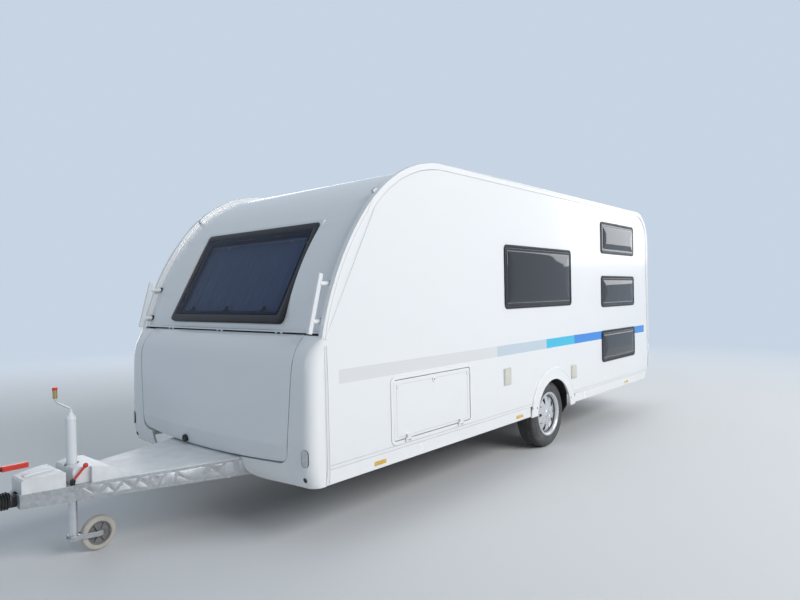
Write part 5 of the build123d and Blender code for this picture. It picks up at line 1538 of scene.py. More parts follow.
class CARAVAN_OT_handles(bpy.types.Operator):
    """Makes the four grab handles with the rings at their feet"""

    bl_idname = "caravan.handles"
    bl_label = "Grab handles"

    def execute(self, context):
        bars, rings = Shape(), Shape()
        (low_x, low_z), (high_x, high_z) = FRONT_BAR
        for side in (-1, 1):
            left = side * FRONT_BAR_SIDE
            foot, top = at(low_x, left, low_z), at(high_x, left, high_z)
            flat_bar(bars, foot, top, FRONT_BAR_WIDTH, FRONT_BAR_DEPTH, 0.006)
            for up in FOOT_HEIGHTS:
                start = at(low_x + (high_x - low_x) * (up - low_z) / (high_z - low_z), left, up)
                wall = surface("front_wall", start, Vector((-1, 0, 0)))
                reach = start.x - wall.x
                bars.lathe([(-0.012, FOOT_RADIUS), (reach - 0.004, FOOT_RADIUS)], wall, (1, 0, 0), 32)
                rings.lathe(FRONT_COLLAR, wall, (1, 0, 0), 32)
            path = [at(forward, side * REAR_BAR_SIDE, up) for forward, up in REAR_BAR]
            bars.tube(bent(path, REAR_BAR_BEND), REAR_BAR_RADIUS, 20)
            for forward, up in (REAR_BAR[0], REAR_BAR[-1]):
                rings.lathe(REAR_COLLAR, at(REAR_SKIN, side * REAR_BAR_SIDE, up), (-1, 0, 0), 32)
        bars.piece("flat_grab_handles", "handle_white", "caravan", 0.0008, 30, ["grab_handles"])
        rings.piece("handle_rings", "frame_black", bevel=0.0006)
        return {"FINISHED"}


# Drawbar

BEAM_NOSE = (4.44, 0.08)
BEAM_FOOT = (2.9, 0.57)


def beam_outer(forward):
    """Half-width over the beams' outer faces at a place forward of the axle."""
    share = (BEAM_NOSE[0] - forward) / (BEAM_NOSE[0] - BEAM_FOOT[0])
    return BEAM_NOSE[1] + share * (BEAM_FOOT[1] - BEAM_NOSE[1])


# Smooth pressings between the ribs of the beams' faces, by their corners forward and up
BEAM_CELLS = mm([
    [(4141, 463), (4091, 422), (4085, 404), (4139, 404)],
    [(4118, 466), (4032, 464), (4062, 427), (4072, 426)],
    [(4056, 399), (4050, 410), (4015, 444), (3980, 410), (3984, 398)],
    [(4008, 463), (3938, 464), (3976, 420), (3982, 420)],
    [(3976, 396), (3968, 406), (3928, 451), (3884, 408), (3890, 396)],
    [(3918, 464), (3853, 468), (3875, 431), (3890, 431)],
    [(3870, 396), (3867, 416), (3842, 448), (3795, 404), (3801, 394)],
    [(3834, 466), (3786, 467), (3801, 434), (3811, 434)],
    [(3793, 426), (3773, 454), (3740, 408), (3757, 396)],
    [(3762, 468), (3701, 468), (3727, 436), (3742, 440)],
    [(3727, 394), (3723, 420), (3688, 466), (3636, 467), (3658, 393)],
    [(3645, 392), (3628, 440), (3578, 410), (3562, 392)],
    [(3622, 468), (3452, 470), (3490, 402), (3548, 396), (3590, 425), (3620, 452)],
    [(3474, 392), (3424, 452), (3368, 402), (3372, 391)], [(3410, 470), (3347, 472), (3388, 440)],
    [(3330, 470), (3283, 472), (3276, 404), (3284, 390), (3350, 390), (3376, 422)],
    [(3250, 473), (3160, 474), (3160, 388), (3240, 388), (3250, 402)],
    [(3136, 474), (3030, 474), (3088, 404)], [(3132, 388), (3066, 398), (3010, 456), (2985, 388)],
])
CELL_RISE = 0.0022


def beam_cells():
    """The smooth pressings along both beams."""
    shape = Shape()
    slope = (BEAM_FOOT[1] - BEAM_NOSE[1]) / (BEAM_NOSE[0] - BEAM_FOOT[0])
    for side in (-1, 1):
        out = Vector((slope, side, 0)).normalized()
        for cell in BEAM_CELLS:
            corners = [at(forward, side * beam_outer(forward), up) for forward, up in cell]
            outline = []
            for three in zip(corners[-1:] + corners, corners, corners[1:] + corners[:1]):
                outline += corner_arc(*three, 0.01, 4)
            middle = sum(outline, Vector()) / len(outline)
            rings = []
            for inset, rise in ((0.0, -0.001), (0.0004, CELL_RISE * 0.6), (0.0022, CELL_RISE)):
                inward = [(middle - point).normalized() * inset for point in outline]
                rings.append([point + way + out * rise for point, way in zip(outline, inward)])
            shape.skin(rings)
    return shape.piece("beam_pressings", "pressed_zinc", angle=50)


def drawbar_ring(forward, half, low, high, radius, steps=6):
    """An upright rounded outline across the drawbar, at a place forward of the axle."""
    middle = (low + high) / 2
    return [at(forward, y, middle + z) for y, z in rounded(2 * half, high - low, radius, steps)]


# Ridge of the nose cover: forward, half-width, from and to its heights
COVER_RIDGE = mm([
    (4400, 25, 556, 564), (4376, 29, 558.5, 571.5), (4300, 29, 564, 577), (4240, 25, 566, 574),
])
# Groove of the rear cover: forward and up at its two ends
COVER_GROOVE = mm([(4094, 486), (4090, 570)])


def cover_details():
    """Ridge along the nose cover's top, and the rear cover's upright groove."""
    rings = []
    for forward, half, low, high in COVER_RIDGE:
        rings.append(drawbar_ring(forward, half, low, high, min(0.004, high - low - 0.006), 4))
    Shape().skin(rings).piece("nose_cover_ridge", "cover_white", "caravan", 0.0015, 40)
    edge = beam_outer(4.092) - 0.0031
    paths = [[at(forward, side * edge, up) for forward, up in COVER_GROOVE] for side in (-1, 1)]
    beads("cover_grooves", paths, "seam_grey", Radius=0.0016)


# The coupling's handle seen from the side, and its grip pad's middle and the run of its thickness
HANDLE_OUTLINE = mm([
    (4690, 502), (4714, 502), (4642, 598), (4532, 632), (4400, 632), (4400, 616), (4520, 616), (4616, 580),
])
PAD_MIDDLE = 4.442
PAD_HEIGHTS = (0.61, 0.64)
# The handbrake lever: forward and up of its foot and its tip
BRAKE_FOOT = (4.184, 0.503)
BRAKE_TIP = (4.118, 0.589)
BRAKE_INSET = 0.015
BALL_RADIUS = 0.015


def levers():
    """The coupling's handle with its grip pads, and the handbrake lever on its bracket."""
    steel, red = Shape(), Shape()
    for side in (-1, 1):
        steel.prism([at(x, side * 0.0145 - 0.0015, z) for x, z in HANDLE_OUTLINE], Vector((0, 0.003, 0)))
    foot, tip = (at(x, beam_outer(x) - BRAKE_INSET, z) for x, z in (BRAKE_FOOT, BRAKE_TIP))
    steel.block(foot + Vector((-0.012, -0.008, -0.022)), foot + Vector((0.012, 0.006, 0.008)))
    steel.lathe([(-0.01, 0.0135), (0.009, 0.0135), (0.011, 0.0115)], foot, (0, 1, 0), 28)
    steel.lathe([(0.009, 0.006), (0.0135, 0.006), (0.015, 0.0045)], foot, (0, 1, 0), 6)
    steel.piece("lever_steel", "coupling_black", bevel=0.0008, replaces=["hand_levers"])
    red.skin([[at(PAD_MIDDLE + x, y, up) for x, y in rounded(0.144, 0.036, 0.014)] for up in PAD_HEIGHTS])
    along = (tip - foot).normalized()
    red.tube([foot + along * 0.012, foot + along * 0.022, tip - along * 0.01], 0.0085, 24, 0.75)
    turns = [pi * step / 16 for step in range(17)]
    ball = [(-BALL_RADIUS * cos(turn), max(0.0006, BALL_RADIUS * sin(turn))) for turn in turns]
    red.lathe(ball, tip, along, 32)
    red.piece("red_grips", "lever_red", "caravan", 0.003, 40, segments=3)


# The coupling head and the overrun housing: forward, half-width, from and to their heights
HEAD_ROWS = mm([
    (4575, 31, 408, 474), (4600, 33, 407, 480), (4640, 36, 406, 489), (4690, 43, 405.5, 498),
    (4730, 50, 405, 500), (4765, 55, 405, 497), (4795, 54, 405, 490), (4820, 46, 405, 476),
    (4834, 34, 406, 455), (4839, 20, 408, 437),
])
HOUSING_ROWS = mm([(4395, 89), (4439.5, 74.5), (4441, 31), (4470.5, 30)])
HOUSING_HEIGHTS = (0.4, 0.469)
# Bolts through the coupling head: forward, out, up
HEAD_BOLTS = [(4.64, 0.0365, 0.448), (4.7, 0.045, 0.448)]
SHAFT_HEIGHT = 0.44


def coupling():
    """Pressed coupling head with its bolts, the shaft and the overrun housing between the beams."""
    rings = []
    for forward, half, low, high in HEAD_ROWS:
        radius = min(0.022, half * 0.6, (high - low) * 0.45)
        rings.append(drawbar_ring(forward, half, low, high, radius))
    shape = Shape().skin(rings)
    shape.lathe([(4.44, 0.025), (4.576, 0.025)], at(0, 0, SHAFT_HEIGHT), (1, 0, 0))
    shape.skin([drawbar_ring(forward, half, *HOUSING_HEIGHTS, 0.008, 4) for forward, half in HOUSING_ROWS])
    shape.piece("pressed_coupling", "coupling_black", "caravan", 0.002, 32, ["coupling_head"])
    spots = []
    for side in (-1, 1):
        spots += [(at(x, side * y, z), Vector((0, side, 0))) for x, y, z in HEAD_BOLTS]
    fasteners("coupling_bolts", spots, "jack_zinc", Radius=0.009, Height=0.008, Sides=6)


# Bolts under the beams, forward and up, and the places of those under the chassis rails
BEAM_BOLTS = mm([(4404, 392.5), (4240, 389), (4120, 387), (3300, 370), (3120, 366)])
RAIL_BOLTS = mm((2700, 2200, 1500, 800, 330, -330, -900, -1600, -2300))
RAIL_BOLT_PLACE = (0.59, 0.3855)


def under_bolts():
    """Bolts under the beams and along the chassis rails."""
    spots = []
    for side in (-1, 1):
        places = [(forward, beam_outer(forward) - 0.024, up) for forward, up in BEAM_BOLTS]
        places += [(forward, *RAIL_BOLT_PLACE) for forward in RAIL_BOLTS]
        spots += [(at(forward, side * left, up), Vector((0, 0, -1))) for forward, left, up in places]
    fasteners("chassis_bolts", spots, "jack_zinc", Radius=0.01, Height=0.009, Sides=6)


def gaiter():
    """Rubber bellows over the coupling shaft."""
    start, end, folds = 4.4722, 4.5728, 6
    profile = [(start, 0.026), (start, 0.044), (start + 0.006, 0.044)]
    steps = folds * 10
    for step in range(steps + 1):
        share = step / steps
        wave = 0.5 - 0.5 * cos(tau * folds * share)
        along = start + 0.008 + (end - start - 0.016) * share
        profile.append((along, 0.037 + 0.0145 * wave**0.7 - 0.003 * share))
    profile += [(end - 0.006, 0.036), (end, 0.036), (end, 0.026)]
    shape = Shape()
    shape.hoop(profile, 64, lambda angle, x, r: at(x, r * cos(angle), SHAFT_HEIGHT + r * sin(angle)))
    return shape.piece("rubber_gaiter", "gaiter_rubber", angle=60, replaces=["gaiter"])


# The jack's axis forward of the axle, and its crank's offset handle
JACK_X = 4.132
CRANK_X = 4.218
# Height and radius: the outer tube from inside its bore round its foot to its top, and its collar
JACK_TUBE = mm([
    (836, 26.2), (389, 26.2), (389, 30), (840, 30), (843, 31.5), (852, 31.5), (856, 30), (866, 25),
    (874, 17.5), (878, 15.5), (884, 14.5), (884, 10), (905, 10),
])
JACK_COLLAR = mm([(480, 33.5), (483, 34.5), (500, 34.5), (503, 33.5)])
CRANK_GRIP = mm([(985, 10.5), (986, 12.5), (992, 13.5), (1010, 12.5), (1028, 13.5), (1035, 13)])
CRANK_CAP = mm([(1034.5, 13.5), (1037, 15), (1048, 15), (1052.8, 11.5)])
CRANK_PATH = [(JACK_X, 0.893), (JACK_X, 0.912), (CRANK_X, 0.968), (CRANK_X, 1.047)]


def jack():
    """Outer tube with its capped top, the bent crank and its grip."""
    foot, handle = at(JACK_X, 0, 0), at(CRANK_X, 0, 0)
    tube = Shape().lathe(JACK_TUBE, foot, (0, 0, 1), 64).lathe(JACK_COLLAR, foot, (0, 0, 1), 64)
    tube.piece("jack_outer_tube", "jack_paint", "caravan", 0.0012, 30, ["jack_tube"])
    path = bent([at(forward, 0, up) for forward, up in CRANK_PATH], 0.022)
    Shape().tube(path, 0.0068, 20).piece("jack_crank", "jack_zinc", "caravan", 0.0008, 30)
    Shape().lathe(CRANK_GRIP, handle, (0, 0, 1), 32).piece("crank_grip", "brass", "caravan", 0.0008, 30)
    Shape().lathe(CRANK_CAP, handle, (0, 0, 1), 32).piece("crank_cap", "lever_red", "caravan", 0.0012, 30)


# Jockey wheel: its axle behind the jack, and its hub's section and ribs by side and radius
JOCKEY_BACK = 0.147
JOCKEY_UP = 0.1075
HUB_SECTION = mm([
    (-21, 73.8), (-21, 66), (-10, 62), (-10, 26), (-30, 22), (-30, 7.3), (30, 7.3), (30, 22), (10, 26),
    (10, 62), (21, 66), (21, 73.8),
])
HUB_RIB = mm([(26, 22.5), (19, 64), (9, 64), (9, 22.5)])


def jockey_wheel():
    """Pale solid tyre on a dark ribbed wheel with its hub."""
    middle = at(JACK_X - JOCKEY_BACK, 0, JOCKEY_UP)

    def place(angle, y, radius):
        return middle + Vector((radius * cos(angle), y, radius * sin(angle)))

    turns = [pi * step / 12 for step in range(13)]
    tread = [(-0.025 * cos(turn), 0.089 + 0.0185 * sin(turn) ** 0.55) for turn in turns]
    pale = Shape().hoop([(-0.0235, 0.074), *tread, (0.0235, 0.074)], HOOP_STEPS, place)
    pale.piece("jockey_tyre", "caster_rubber", "caster", angle=50)
    dark = Shape().hoop(HUB_SECTION, HOOP_STEPS, place)
    for rib in range(6):
        angle = tau * rib / 6
        across = Vector((-sin(angle), 0, cos(angle))) * 0.003
        for side in (-1, 1):
            dark.prism([place(angle, side * y, radius) - across for y, radius in HUB_RIB], across * 2)
    dark.piece("jockey_hub", "hub_grey", "caster", 0.0008, 40, ["jockey_wheel"])


class CARAVAN_OT_drawbar(bpy.types.Operator):
    """Makes the drawbar's pressings and covers, gaiter, coupling, levers, jack and jockey wheel"""

    bl_idname = "caravan.drawbar"
    bl_label = "Drawbar and jack"

    def execute(self, context):
        beam_cells()
        cover_details()
        gaiter()
        levers()
        coupling()
        under_bolts()
        jack()
        jockey_wheel()
        return {"FINISHED"}


# Doors and hatches

DOOR_FRAME_SECTION = mm([
    (0, -1), (0, 5), (1.2, 6.8), (3, 7.4), (19, 7.4), (21.2, 6.4), (22, 4.5), (24, 3), (24, -10), (12, -10),
    (12, -1),
])
DOOR_PANE_SECTION = mm([
    (0.6, -2), (0.6, 3), (1.6, 5), (4, 5.8), (20, 6), (22.2, 5.2), (24.4, 5.8), (40, 7.4), (80, 8.6),
])
# Each hatch: node, body, places of its locks and their height
HATCHES = [
    ("hatch_door", "service_hatch", (2.387, 1.969, 1.518), 0.925),
    ("cassette_door", "cassette_hatch", (-2.375, -2.085), 0.888),
]
# Fine lines round hatches and door: node, body, how far inside the edge
PANEL_LINES = [
    ("hatch_door", "service_hatch", 0.03),
    ("cassette_door", "cassette_hatch", 0.022),
    ("entrance_door", "door", 0.035),
]
# Locks that have a keyway of their own
KEYED = (1.969, -2.375, -2.085)
LOCK_BOSS = mm([(-3, 21), (3.5, 21), (6, 18.5), (6.4, 12)])
KEYWAY = mm([(6.2, 5.5), (7, 5.5), (7.2, 3)])
LOCK_DIMPLE = mm([(6.2, 2.8), (6.8, 2.6)])
# How far from the middle the skin of doors and hatches lies
DOOR_SKIN = WALL_SKIN + 0.002
# The door handle: place forward and up, width and height; its cup's section; its grip's path
DOOR_HANDLE = (0.705, 1.14, 0.1, 0.15)
CUP_SECTION = mm([(0, -1), (0, 6), (3, 8.5), (10, 8.8), (13, 7), (18, 3), (30, 2)])
GRIP_PATH = ((0.052, 0.004), (0.05, 0.017), (-0.04, 0.017))
# Height of the line across the door, and the fine lines' own radius and that of their corners
DOOR_LINE = 1.33
PANEL_LINE_RADIUS = 0.0011
PANEL_ROUND = 0.045


def door_handle():
    """The entrance door's handle: a cup with a grip across it and a lock under the grip."""
    forward, up, width, height = DOOR_HANDLE
    out = Vector((0, -1, 0))
    handle = Pane(at(forward, -DOOR_SKIN, up), width, height, (1, 0, 0), (0, 0, 1), out)
    Shape().skin(handle.rings(CUP_SECTION, 0.03)).piece("door_handle_cup", "frame_black", "door", 0.0006, 30)
    path = [handle.point(0.02, up, rise) for up, rise in GRIP_PATH]
    grip = Shape().tube(bent(path, 0.01), 0.0075, 16, 1.5)
    lock = handle.point(0.004, -0.052, 0.003)
    grip.lathe([(0, 0.012), (0.005, 0.012), (0.0065, 0.0105), (0.0068, 0.004)], lock, out, 28)
    grip.piece("door_grip", "black_plastic", "door", 0.0008, 30)


def hatch_locks():
    """Round lock bosses along the top of both hatches, some with a keyway."""
    for node, body, places, up in HATCHES:
        side = 1 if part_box(node)[0].y > 0 else -1
        bosses, keys = Shape(), Shape()
        for forward in places:
            place = on_wall(side, [(forward, up)], 0.0015)[0]
            bosses.lathe(LOCK_BOSS, place, (0, side, 0), 40)
            if forward in KEYED:
                keys.lathe(KEYWAY, place, (0, side, 0), 20)
            else:
                keys.lathe(LOCK_DIMPLE, place, (0, side, 0), 12)
        bosses.piece(node + "_locks", "white_trim", body, 0.0006, 30)
        keys.piece(node + "_keyways", "frame_black", body, 0.0002, 30)


def panel_lines():
    """Fine lines inside the edges of the hatches and the door, and one across the door."""
    for node, body, inset in PANEL_LINES:
        pane = wall_pane(*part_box(node), DOOR_SKIN)
        ring = pane.ring(inset, 0.0, PANEL_ROUND)
        paths = [ring + ring[:1]]
        if body == "door":
            half = pane.width / 2 - inset
            paths.append([Vector((pane.middle.x + x, pane.middle.y, DOOR_LINE)) for x in (-half, half)])
        beads(node + "_lines", paths, "seam_grey", body, Radius=PANEL_LINE_RADIUS)


# Fine lines along the walls' feet: their heights and their runs before and behind the wheel
FOOT_LINES = (0.5055, 0.4815)
FOOT_RUNS = ((-2.69, -0.475), (0.475, 3.04))
FOOT_LINE_RADIUS = 0.0016
# Seams up the corners' sides, by their places forward and up
CORNER_SEAMS = mm((
    ((3083, 1262), (3076, 1000), (3074, 470), (3088, 398)),
    ((3062, 1262), (3056, 1000), (3054, 470), (3060, 398)),
))


def body_lines():
    """Lines along the walls' feet, the edge trims' middles and the corners' sides."""
    feet, seams = [], []
    for side in (-1, 1):
        for up in FOOT_LINES:
            feet += [on_wall(side, [(rear, up), (fore, up)], 0.0004) for rear, fore in FOOT_RUNS]
        seams.append([point + Vector((0, side * 0.0002, 0)) for point in trim_middle(side)])
        for places in CORNER_SEAMS:
            seams.append([at(forward, side * (CORNER_OUT + 0.0002), up) for forward, up in places])
    beads("wall_foot_lines", feet, "seam_grey", Radius=FOOT_LINE_RADIUS)
    beads("body_seams", seams, "seam_grey", Radius=bpy.context.scene.caravan_sizes.bead)


class CARAVAN_OT_openings(bpy.types.Operator):
    """Makes the door's window and handle, and the locks and lines of the door and the hatches"""

    bl_idname = "caravan.openings"
    bl_label = "Door and hatches"

    def execute(self, context):
        glass = wall_pane(*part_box("door_window"), DOOR_SKIN)
        rim = Shape().loop(glass.grown(0.016).rings(DOOR_FRAME_SECTION, 0.04))
        rim.piece("door_window_frame", "frame_black", "door", angle=40)
        pane = bulged_pane(glass.grown(-0.004), Shape(), DOOR_PANE_SECTION, 0.022, 0.002)
        pane.piece("door_window_pane", "tinted_pane", "door", angle=24, replaces=["door_window"])
        door_handle()
        hatch_locks()
        panel_lines()
        body_lines()
        return {"FINISHED"}


# Lamps

LAMP_LEAN = radians(49)
# Front markers: distance out and height, their turn in degrees, and how deep they are set
MARKER_PLACE = (1.0986, 0.578)
MARKER_ANGLE = 15.4
MARKER_SET = -0.006
# Lamp pieces: name, finish, width of the softened edges
LAMP_PIECES = [
    ("red_lenses", "lamp_lens", 0.0006),
    ("amber_lenses", "amber_lens", 0.0006),
    ("side_reflectors", "yellow_lens", 0.0006),
    ("clear_lenses", "clear_lens", 0.0006),
    # Black rims, bases and plugs; round the front markers the black rim is painted shade of the gap round the
    # lamp
    ("lamp_rims", "frame_black", 0.0004),
    ("lamp_bodies", "white_trim", 0.0015),
]
# Lenses of a rear cluster: finish, and from and to across it
CLUSTER_LENSES = (
    ("lamp_lens", 0.008, 0.096),
    ("amber_lens", -0.038, 0.003),
    ("clear_lens", -0.084, -0.043),
    ("lamp_lens", -0.122, -0.089),
)
# The plug under a front marker, with its distance out and its height, and a roof marker's arm
PLUG_PROFILE = mm([(-10, 16.5), (0.6, 16.5), (1.6, 15), (0.6, 11)])
MARKER_ARM = mm([(-5, 0), (-4, 4), (0, 14), (0, 44), (1.5, 46)])
PLUG_PLACE = (1.08, 0.44)


def lens_face(shape, pane, radius, rise, dome=0.002):
    """A closed lens with rounded edges and a slightly domed face."""
    rings = pane.rings([(0.0, 0.0), (0.0, rise - 0.0015), (0.0012, rise)], radius)
    smallest = min(pane.width, pane.height) / 2
    for share in (0.25, 0.5, 0.75, 0.96):
        rings.append(pane.ring(smallest * share, rise + dome * (1 - (1 - share) ** 2), radius))
    shape.skin(rings)


def front_marker(parts, side):
    """An upright oblong lamp let into a corner where it begins to round, and the plug under it; the thin
    black rim round its lens is painted shade of the gap round the lamp.
    """
    angle = radians(MARKER_ANGLE)
    out = Vector((cos(angle), side * sin(angle), 0))
    place = corner_face(side, *MARKER_PLACE) + out * MARKER_SET
    face = Pane(place, 0.05, 0.106, (-out.y, out.x, 0), (0, 0, 1), out)
    # Thin black rim round the lens: painted shade of the gap round the lamp
    lamp_rim(parts["frame_black"], face.grown(-0.0015), 0.021, 0.0018, 0.0062)
    lens_face(parts["clear_lens"], face.grown(-0.002), 0.022, 0.0085)
    parts["frame_black"].lathe(PLUG_PROFILE, corner_face(side, *PLUG_PLACE), (1, 0, -0.2), 32)


def roof_marker(parts, middle):
    """A short white arm out of the front panel with a pale lens on its end."""
    out = Vector((cos(LAMP_LEAN), 0, sin(LAMP_LEAN)))
    up = Vector((-sin(LAMP_LEAN), 0, cos(LAMP_LEAN)))
    foot = middle - out * 0.036
    arm = Pane(foot, 0.032, 0.048, (0, 1, 0), up, out)
    parts["white_trim"].skin(arm.rings(MARKER_ARM, 0.01))
    head = Pane(foot + out * 0.0455, 0.0315, 0.0475, (0, 1, 0), up, out).grown(-0.002)
    lamp_rim(parts["white_trim"], head, 0.007, 0.002, 0.004)
    lens_face(parts["clear_lens"], head, 0.007, 0.009, 0.003)
    screw = arm.point(0.0165, -0.004, 0.03)
    parts["frame_black"].lathe([(0.0, 0.004), (0.001, 0.0035)], screw, (0, 1, 0), 16)


def rear_cluster(parts, low, high, side):
    """A dark base with red, amber and clear lenses side by side."""
    middle = Vector((high.x, (low.y + high.y) / 2, (low.z + high.z) / 2))
    base = rear_pane(middle, high.y - low.y, high.z - low.z, side)
    lens_face(parts["frame_black"], base, 0.03, 0.005, 0.0005)
    for finish, start, end in CLUSTER_LENSES:
        part = rear_pane(base.point((start + end) / 2, 0, 0.004), end - start, base.height - 0.02, side)
        lens_face(parts[finish], part, 0.012, 0.005, 0.0025)


def rear_plate(parts):
    """A blank plate between the clusters, its two lights, and the upper brake lamp."""
    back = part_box("rear_bumper")[0].x - AXLE_X
    lens_face(parts["white_trim"], rear_pane(at(back, 0, 0.69), 0.52, 0.112), 0.008, 0.0025, 0.0)
    for left in (-0.14, 0.14):
        light = rear_pane(at(back, left, 0.778), 0.08, 0.026)
        lens_face(parts["frame_black"], light, 0.006, 0.0045, 0.001)
        lens_face(parts["clear_lens"], light.grown(-0.005), 0.004, 0.006, 0.001)
    strip = rear_pane(at(REAR_SKIN, 0, 2.1), 0.42, 0.03)
    lamp_rim(parts["frame_black"], strip, 0.01, 0.003, 0.006)
    lens_face(parts["lamp_lens"], strip, 0.01, 0.008)


def lamp_rim(shape, pane, radius, width, rise):
    """A raised rim round a lens."""
    section = [(0.0, -0.001), (0.0, rise), (0.0008, rise + 0.0008), (width, rise + 0.0008), (width, -0.001)]
    shape.loop([pane.ring(inset - width, out, radius + width) for inset, out in section])


class CARAVAN_OT_lamps(bpy.types.Operator):
    """Makes the marker lamps, the reflectors, the rear clusters and the blank plate"""

    bl_idname = "caravan.lamps"
    bl_label = "Lamps and reflectors"

    def execute(self, context):
        parts = {finish: Shape() for name, finish, bevel in LAMP_PIECES}
        for low, high in islands("lamps"):
            side = 1 if low.y + high.y > 0 else -1
            if high.x < AXLE_X - 2.7:
                rear_cluster(parts, low, high, side)
            elif high.z < 0.45:
                lens_face(parts["yellow_lens"], wall_pane(low, high), 0.006, 0.004, 0.0012)
            elif low.z > 2.0:
                roof_marker(parts, (low + high) / 2)
            else:
                front_marker(parts, side)
        rear_plate(parts)
        for name, finish, bevel in LAMP_PIECES:
            replaced = ["lamps"] if finish == "lamp_lens" else ()
            parts[finish].piece(name, finish, "caravan", bevel, 30, replaced)
        return {"FINISHED"}


# Wall covers and vents

# Inset from the edge of a cover or a vent, height over the wall
COVER_SECTION = mm([
    (0, 0), (0, 4), (1, 5.2), (6, 5.6), (7, 4.2), (8.2, 4.2), (9, 8.6), (11, 10.6), (15, 11.2), (30, 11.8),
    (50, 12),
])
VENT_SECTION = mm([(0, -0.5), (0, 7), (2, 10.5), (5, 11.5), (20, 11.5), (23, 10), (24, 6), (24, -0.5)])
# Tilt of a vent's slats, and their depth
SLAT_TILT = -0.65
SLAT_DEPTH = 0.0095


class CARAVAN_OT_covers(bpy.types.Operator):
    """Makes the beige wall covers and the slatted vents"""

    bl_idname = "caravan.covers"
    bl_label = "Wall covers and vents"

    def execute(self, context):
        caps, frames, back = Shape(), Shape(), Shape()
        rows = []
        pitch = context.scene.caravan_sizes.slat_pitch
        for low, high in islands("wall_covers"):
            face = wall_pane(low, high)
            if face.out.y > 0:
                caps.skin(face.rings(COVER_SECTION, 0.012))
                for across in (-0.03, 0.03):
                    hinge = face.point(across, face.height / 2 - 0.006, 0.005)
                    caps.lathe([(-0.012, 0.0035), (0.012, 0.0035)], hinge, (1, 0, 0), 16)
                continue
            frames.loop(face.rings(VENT_SECTION, 0.014))
            # A black sheet behind the slats darkens what shows between them: painted shade of the hollow
            # behind the vent
            back.skin(face.rings([(0.022, 0.0005), (0.022, 0.0016)], 0.004))
            inner = face.height - 2 * 0.026
            width = face.width - 0.047
            rows.append(face.point(0, -inner / 2 + pitch / 2, 0.0066))
        caps.piece("socket_covers", "cover_beige", "caravan", 0.0008, 40, ["wall_covers"])
        frames.piece("vent_frames", "white_trim", angle=40)
        back.piece("vent_backs_shade", "frame_black")
        start = dots("vent_rows", rows)
        values = {"Count": int(inner / pitch), "Width": width, "Pitch": pitch, "Tilt": SLAT_TILT}
        grown("vent_slats", "slats", start, "white_trim", "caravan", 30.0, Depth=SLAT_DEPTH, **values)
        return {"FINISHED"}


# Roof

DOME_SECTION = mm([(22, 8), (21, 16), (24, 22.5), (32, 27.5), (48, 31), (75, 33.5), (115, 34.5), (165, 35)])
DOME_BASE = mm([(-12, -1), (-12, 3), (-9, 5.5), (0, 7), (6, 14), (10, 16.5), (18, 16.5), (20, 8), (20, -1)])


class CARAVAN_OT_roof(bpy.types.Operator):
    """Makes the rooflights' frames and domes"""

    bl_idname = "caravan.rooflights"
    bl_label = "Rooflights"

    def execute(self, context):
        bases, domes = Shape(), Shape()
        spots = []
        for low, high in islands("rooflights"):
            middle = Vector(((low.x + high.x) / 2, (low.y + high.y) / 2, low.z))
            face = Pane(middle, high.x - low.x, high.y - low.y, (1, 0, 0), (0, 1, 0), (0, 0, 1))
            bases.loop(face.rings(DOME_BASE, 0.045))
            domes.skin(face.rings(DOME_SECTION, 0.05))
            for side in (-1, 1):
                for share in (-0.75, -0.25, 0.25, 0.75):
                    place = face.point(face.width / 2 * share, side * (face.height / 2 + 0.004), 0.006)
                    spots.append((place, Vector((0, 0, 1))))
        bases.piece("rooflight_frames", "white_trim", angle=40, replaces=["rooflights"])
        domes.piece("rooflight_domes", "roof_dome", angle=30)
        screw = context.scene.caravan_sizes.screw_radius
        fasteners("rooflight_screws", spots, "jack_zinc", Radius=screw, Height=0.002)
        return {"FINISHED"}


# Studio


class CARAVAN_OT_studio(bpy.types.Operator):
    """Lays the floor and the backdrop, hangs the lights and sets the camera"""

    bl_idname = "caravan.studio"
    bl_label = "Studio"

    def execute(self, context):
        settings = context.scene.caravan_studio
        ground = Shape()
        ground.mesh.faces.new(ground.ring(FLOOR_CORNERS))
        laid = stood("studio_floor", poured(ground.mesh, "studio_floor"))
        laid.data.materials.append(studio_finish(settings))
        context.scene.world = studio_air(settings)
        for name, place, aim, size, power, tint in STUDIO_LAMPS:
            lamp = bpy.data.lights.new(name, "AREA")
            lamp.shape = "RECTANGLE"
            lamp.size, lamp.size_y = size
            lamp.energy = power * settings.lamps
            lamp.color = tint
            hung = stood(name, lamp)
            hung.location = place
            hung.rotation_euler = (Vector(aim) - Vector(place)).to_track_quat("-Z", "Y").to_euler()
        context.scene.view_settings.view_transform = "Standard"
        set_camera(context, settings)
        return {"FINISHED"}


FLOOR_CORNERS = [(-90, -90, 0), (90, -90, 0), (90, 90, 0), (-90, 90, 0)]
# Where the floor begins to fade into the backdrop, and where it has faded
FLOOR_NEAR = 4.5
FLOOR_FAR = 15.0
# name, place, aim, size, watts, colour
STUDIO_LAMPS = [
    ("key", (-1.0, 12.0, 8.0), (-0.5, 0.0, 1.2), (10.0, 6.0), 1340.0, (1.0, 0.985, 0.97)),
    ("front_fill", (12.0, -2.0, 5.0), (2.0, 0.0, 1.2), (6.0, 5.0), 110.0, (0.72, 0.86, 1.0)),
    ("far_side", (-7.0, -14.0, 3.5), (-0.5, 0.0, 1.2), (18.0, 7.0), 950.0, (1.0, 1.0, 1.0)),
    ("rear_fill", (-13.0, 1.0, 6.0), (-3.0, 0.0, 1.2), (12.0, 8.0), 500.0, (1.0, 1.0, 1.0)),
]
# Skylight, bluer than the key light
AIR_TINT = (0.74, 0.87, 1.0)


def background_seen(nodes):
    """1 for the camera's rays and for those in gloss and glass, otherwise 0."""
    rays = nodes.tree.nodes.new("ShaderNodeLightPath").outputs
    camera, gloss, glass = (
        Wire(nodes, rays[kind]) for kind in ("Is Camera Ray", "Is Glossy Ray", "Is Transmission Ray")
    )
    return camera.math("MAXIMUM", gloss.math("MAXIMUM", glass))


